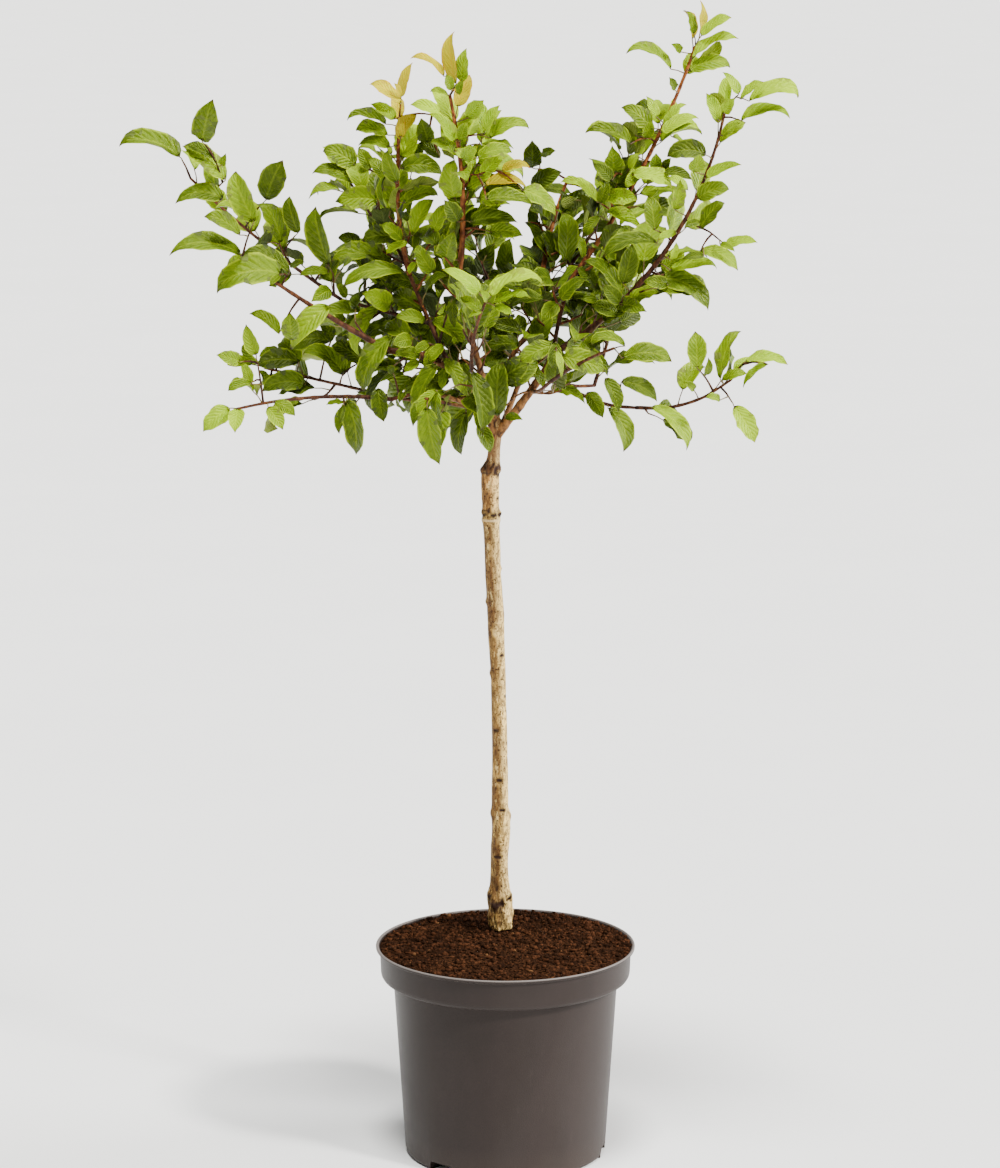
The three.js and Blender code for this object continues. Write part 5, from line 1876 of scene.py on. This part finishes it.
def grow_finer(mass, index):
    """More side twigs on the shoot and on the older wood behind it, by the same rule."""
    nodes = node_count(mass)
    shoot = shoot_of(mass)
    for i in range(nodes):
        t = (i + 0.5) / nodes
        root, heading = node_on(shoot, t)
        if i % SPUR_EVERY == 0 or t > FINER_UP_TO or not in_heart(root):
            continue
        for k, turn in enumerate(FINER_TURNS):
            seed = node_seed(index, i, FINER_SEED + k * 7919)
            way = sideways(heading, i * LEAF_SPIRAL + index * MASS_TURN + turn, FINER_OPENING)
            length = mass["spur"] * FINER_LENGTH * (1 - SPUR_SHORTER * t)
            grow_spur(mass, root, way, length, seed, t, 2, 0.8)
    wood = limbs[mass["name"]]
    count = max(3, int(len(wood) * 1.1))
    for i in range(count):
        t = WOOD_FROM + WOOD_OVER * i / count
        root, heading = node_on(wood, t)
        if not in_heart(root):
            continue
        way = sideways(heading, i * LEAF_SPIRAL + index * WOOD_TURN, WOOD_OPENING)
        grow_spur(mass, root, way, WOOD_SPUR, node_seed(index, i, WOOD_SEED), 0.0, 3, 0.86)


for index, mass in enumerate(MASSES):
    grow_finer(mass, index)

# A leading shoot ends at its last leaf or twig
HELD_WITHIN = 6.0
CUT_STEP = 0.04
SHORTEST_CUT = 0.3
held = [leaf.get("stem", leaf["root"]) for leaf in leaves] + [twig["points"][0] for twig in twigs]


def carries(tip):
    """Whether a leaf or a twig springs from a shoot near a place."""
    return any((tip - place).length < HELD_WITHIN for place in held)


for twig in twigs:
    if not twig.get("leading"):
        continue
    end = 1.0
    while end > SHORTEST_CUT and not carries(point_along(twig["points"], end)):
        end -= CUT_STEP
    if end < 1.0:
        twig["points"] = shortened(twig["points"], end)
        print("shoot cut back to", round(end, 2))
print(len(leaves), "leaves on", len(twigs), "twigs with the finer ones")

# %% [markdown]
# ## Boughs and twigs
# Young fruit wood is smooth, purple-brown where it is old and red-brown where it is new, with a
# slight swelling at each node and a collar where a limb leaves its parent. The boughs are tubes along
# the smoothed paths, with noise on their radius as relief. Twigs are thinner tubes of fewer sides.
# An attribute named age, 0 for old wood and 1 for new, lets one material colour them all.


# %% Bough mesh
OLD_BARK_REACH = 90.0
MAIN_BOUGHS = ("right", "left", "centre")
SLIMMER = 0.8
NODE_SWELLING = 0.14
COLLAR_SWELLING = 0.28
COLLAR_LENGTH = 7
WOOD_RELIEF = 0.10


def wood_piece(name, stems, sides, step):
    """Joins stems into one mesh, each with relief, node swellings and its age."""
    corners, faces, ages, barks = [], [], [], []
    for number, stem in enumerate(stems):
        curve = eased(stem["points"], step)
        last = len(curve) - 1
        radii = []
        for i, point in enumerate(curve):
            t = i / last
            radius = stem["radii"][0] + (stem["radii"][1] - stem["radii"][0]) * t
            swelling = NODE_SWELLING * bell((t * stem["nodes"]) % 1 - 0.5, 0.12)
            collar = stem.get("collar", 0) * math.exp(-t * last * step / COLLAR_LENGTH)
            scale = radius * (1 + swelling + collar)

            def shaped(angle, scale=scale, place=point, number=number):
                """The radius at an angle round the stem, with the relief of its bark."""
                around = Vector((math.cos(angle), math.sin(angle), number))
                return scale * (1 + WOOD_RELIEF * noise.noise(around * 1.3 + place * 0.11))

            radii.append(shaped)
        before = len(corners)
        tube(curve, radii, sides, corners, faces)
        for i, corner in enumerate(corners[before:]):
            newer = (stem["age_end"] - stem["age"]) * (i // sides) / last
            ages.append(min(1.0, stem["age"] + newer))
            away = (corner - trunk_point(TRUNK_HEIGHT)).length
            barks.append(max(0.0, 1 - away / OLD_BARK_REACH))
    piece = mesh_piece(name, corners, faces)
    write_layer(piece.data, "age", ages)
    write_layer(piece.data, "old_bark", barks)
    return piece


bough_stems = []
for bough in BOUGHS:
    slimness = 1.0 if bough["name"] in MAIN_BOUGHS else SLIMMER
    bough_stems.append({
        "points": limbs[bough["name"]],
        "radii": (bough["radius"] * slimness, bough["radius"] * BOUGH_TAPER * slimness),
        "nodes": max(3, bough["length"] // 20),
        "age": 0.0,
        "age_end": 0.3,
        "collar": COLLAR_SWELLING,
    })
boughs = wood_piece("boughs", bough_stems, 14, 3.0)
leading = [twig for twig in twigs if twig.get("leading")]
side = [twig for twig in twigs if not twig.get("leading")]
shoots = wood_piece("leading_shoots", leading, 10, 3.0)
side_twigs = wood_piece("side_twigs", side, 6, 5.0)
print("wood", sum(len(piece.data.polygons) for piece in (boughs, shoots, side_twigs)), "faces")

# %% [markdown]
# The old wood is nearly black with brown flecks and the new wood glows red-brown. The age on the
# mesh blends the two, and pale dots stand for the pores. Close to the fork the boughs still wear the
# trunk's tan bark, so a second attribute, old_bark, blends it in.

# %% Wood finish
OLD_WOOD = ((0.010, 0.004, 0.003), (0.036, 0.015, 0.009))
NEW_WOOD = ((0.130, 0.032, 0.007), (0.400, 0.130, 0.028))
TAN_WOOD = ((0.050, 0.020, 0.007), (0.27, 0.120, 0.036))
PALE_DOT = (0.16, 0.085, 0.035)

wood_bark, tree, shader = new_material("young_bark", 0.55, Specular_IOR_Level=0.12)
fine = place_group(tree, flecks, Scale=240.0, Stretch=0.6, From=0.42, To=0.66)
dots = place_group(tree, flecks, Scale=520.0, Stretch=1.2, From=0.66, To=0.72)
patches = place_group(tree, flecks, Scale=260.0, Stretch=0.5, From=0.36, To=0.62)
old_tone = blend(tree, *OLD_WOOD, fine["Mask"])
new_tone = blend(tree, *NEW_WOOD, fine["Mask"])
tone = blend(tree, old_tone, new_tone, layer_of(tree, "age"))
tone = blend(tree, tone, PALE_DOT, scaled(tree, dots["Mask"], 0.35))
tan_bark = blend(tree, *TAN_WOOD, patches["Mask"])
tone = blend(tree, tone, tan_bark, ramp(tree, layer_of(tree, "old_bark"), 0.05, 0.5))
tree.links.new(tone, shader.inputs["Base Color"])
relief(tree, shader, fine["Height"], 0.0006)
for piece in (boughs, shoots, side_twigs):
    piece.data.materials.append(wood_bark)
dress(boughs, "bough_bark", *bough_nodes)
dress(shoots, "foliage", *foliage_nodes)
dress(side_twigs, "foliage", *foliage_nodes)

# %% [markdown]
# ## Leaf meshes
# The leaves of one tint are one joined mesh with two finishes, the glossy top and the pale matt
# underside. The stalks are thin curved tubes from the stem to the blade, joined as well.


# %% Join the leaves
STALK_RADII = (0.75, 0.55, 0.55, 0.35)
STALK_SIDES = 5


def leaf_piece(tint):
    """All leaves of one tint as a mesh with a UV map and a shade for each leaf."""
    chosen = [leaf for leaf in leaves if leaf["tint"] == tint]
    corners, faces, finishes, shades = [], [], [], []
    for leaf in chosen:
        first = len(corners)
        corners += blade_corners(leaf)
        shades += [leaf["shade"]] * BLADE_CORNERS
        for group, finish in ((TOP_FACES, 0), (UNDER_FACES, 1)):
            faces += [tuple(first + k for k in face) for face in group]
            finishes += [finish] * len(group)
    piece = mesh_piece("leaves_" + tint, corners, faces)
    mesh = piece.data
    write_layer(mesh, "shade", shades)
    places = blade_coordinates()
    chart = mesh.uv_layers.new(name="blade")
    values = []
    for loop in mesh.loops:
        values += places[loop.vertex_index % BLADE_CORNERS]
    chart.data.foreach_set("uv", values)
    return piece, finishes


def stalk_piece():
    """A thin stalk for each leaf, from inside its stem to the base of its blade."""
    corners, faces = [], []
    for leaf in leaves:
        base, inner = blade_points(leaf, (0, 2), (0.0,))
        stem = leaf.get("stem", leaf["root"])
        middle = stem.lerp(base, 0.55) + leaf["normal"] * 0.8
        path = [stem, middle, base - leaf["normal"] * 0.25, inner - leaf["normal"] * 0.35]
        tube(path, STALK_RADII, STALK_SIDES, corners, faces)
    return mesh_piece("leaf_stalks", corners, faces)


leaf_pieces = {tint: leaf_piece(tint) for tint in TINTS}
stalks = stalk_piece()
print({tint: len(piece.data.polygons) // BLADE_FACES for tint, (piece, _) in leaf_pieces.items()})

# %% [markdown]
# A leaf's colour lies between a darker and a lighter tone of its tint, by its own shade. Soft clouds
# lighten parts of the blade and the veins are paler. A pale dapple stands partly for patchy gloss, a
# painted sheen, and the edge is painted paler, a painted edge highlight. The last few millimetres of the
# tip are brown, or reddish where the leaf is young. The top has a waxy gloss that varies with the
# clouds, and the veins and a fine crinkle press a relief into it. The underside is paler and matt.


# %% Leaf finishes
WAX_TINT = (0.82, 0.95, 0.25, 1)
WAX = {"Specular_IOR_Level": 0.38, "Specular_Tint": WAX_TINT}
CRINKLE = 4.0


def leaf_top(tint, dark, light, vein, tip):
    """The glossy upper side of one tint."""
    material, tree, shader = new_material("leaf_" + tint, 0.40, **WAX)
    pattern = place_group(tree, veins, Pairs=8.0, Slant=0.32)
    clouds = place_group(tree, flecks, Scale=48.0, Stretch=1.0, From=0.40, To=0.62)
    dapple = place_group(tree, flecks, Scale=190.0, Stretch=1.0, From=0.48, To=0.64)
    tone = layered(tree, blend(tree, dark, light, layer_of(tree, "shade")), (
        (light, clouds["Mask"], 0.7),
        # a pale dapple, partly a painted sheen for patchy gloss
        (vein, dapple["Mask"], 0.15),
        (vein, pattern["Vein"], 0.29),
        # painted edge highlight: the rim is painted paler
        (vein, pattern["Rim"], 0.7),
        (tip, pattern["Tip"], 0.9),
    ))
    tree.links.new(tone, shader.inputs["Base Color"])
    rough = ramp(tree, clouds["Height"], 0.35, 0.65, 0.28, 0.52)
    tree.links.new(rough, shader.inputs["Roughness"])
    crinkle = scaled(tree, dapple["Height"], CRINKLE)
    relief(tree, shader, reckon(tree, "ADD", pattern["Height"], crinkle), 0.00032)
    return material


def leaf_under(tint, tone, vein):
    """The pale matt underside of one tint."""
    material, tree, shader = new_material("leaf_under_" + tint, 0.6, Specular_IOR_Level=0.15)
    pattern = place_group(tree, veins, Pairs=8.0, Slant=0.32)
    dapple = place_group(tree, flecks, Scale=110.0, Stretch=1.0, From=0.40, To=0.66)
    tone = layered(tree, tone, ((vein, dapple["Mask"], 0.3), (vein, pattern["Vein"], 0.6)))
    tree.links.new(tone, shader.inputs["Base Color"])
    relief(tree, shader, pattern["Height"], -0.0003)
    return material


BROWN_TIP = (0.045, 0.022, 0.007)
# Darker and lighter tone of the top, its veins and its tip
LEAF_TONES = {
    # Deep leaves are a darker green, partly as painted shade for leaves inside the crown
    "deep": ((0.013, 0.025, 0.0005), (0.042, 0.074, 0.0008), (0.20, 0.27, 0.010), BROWN_TIP),
    "mid": ((0.030, 0.057, 0.0006), (0.088, 0.146, 0.0010), (0.30, 0.39, 0.012), BROWN_TIP),
    "fresh": ((0.072, 0.132, 0.0007), (0.170, 0.270, 0.0010), (0.38, 0.50, 0.010), BROWN_TIP),
    # Lime leaves are young and yellow-green, and their lighter tones also stand for the glow of backlit
    # leaves: painted light
    "lime": ((0.165, 0.290, 0.0003), (0.280, 0.430, 0.0004), (0.40, 0.56, 0.003), (0.26, 0.20, 0.004)),
    "golden": (
        (0.370, 0.330, 0.0002), (0.500, 0.430, 0.0003), (0.66, 0.30, 0.001), (0.58, 0.150, 0.001),
    ),
}
# Tone of the underside and its veins
UNDER_TONES = {
    "deep": ((0.036, 0.052, 0.006), (0.08, 0.105, 0.02)),
    "mid": ((0.070, 0.098, 0.009), (0.15, 0.185, 0.035)),
    "fresh": ((0.125, 0.165, 0.012), (0.24, 0.28, 0.05)),
    "lime": ((0.200, 0.280, 0.006), (0.32, 0.40, 0.02)),
    "golden": ((0.360, 0.270, 0.004), (0.46, 0.38, 0.02)),
}
for tint, (piece, finishes) in leaf_pieces.items():
    piece.data.materials.append(leaf_top(tint, *LEAF_TONES[tint]))
    piece.data.materials.append(leaf_under(tint, *UNDER_TONES[tint]))
    piece.data.polygons.foreach_set("material_index", finishes)
    dress(piece, "foliage", *foliage_nodes)

# %% [markdown]
# A young stalk is red-brown where it leaves the twig and yellow-green towards its blade. Stalks are
# too thin for more than that to be seen, so fine flecks just mix the two colours.

# %% Stalk finish
STALK_RED = (0.060, 0.016, 0.006)
STALK_GREEN = (0.150, 0.110, 0.008)

stalk_skin, tree, shader = new_material("stalk_skin", 0.5)
fine = place_group(tree, flecks, Scale=90.0, Stretch=1.0, From=0.35, To=0.65)
tone = blend(tree, STALK_RED, STALK_GREEN, fine["Mask"])
tree.links.new(tone, shader.inputs["Base Color"])
stalks.data.materials.append(stalk_skin)
dress(stalks, "foliage", *foliage_nodes)

# %% [markdown]
# The floor is painted in two greys that hardly differ, so that it looks plain but isn't one flat
# colour.

# %% Floor finish
FLOOR_GREYS = ((0.84, 0.84, 0.835), (0.86, 0.86, 0.855))
floor_paint, tree, shader = new_material("floor_paint", 0.7, Specular_IOR_Level=0.2)
even = place_group(tree, flecks, Scale=3.0, Stretch=1.0, From=0.3, To=0.7)
tree.links.new(blend(tree, *FLOOR_GREYS, even["Mask"]), shader.inputs["Base Color"])
floor.data.materials.append(floor_paint)
print("floor painted")

# %% [markdown]
# ## Sizes
# The size of the solid model's box is printed. The dressed tree has to stay as large as its
# solids.

# %% Print the solid size
print("solid size", [round(v, 4) for v in cad_box[1] - cad_box[0]])
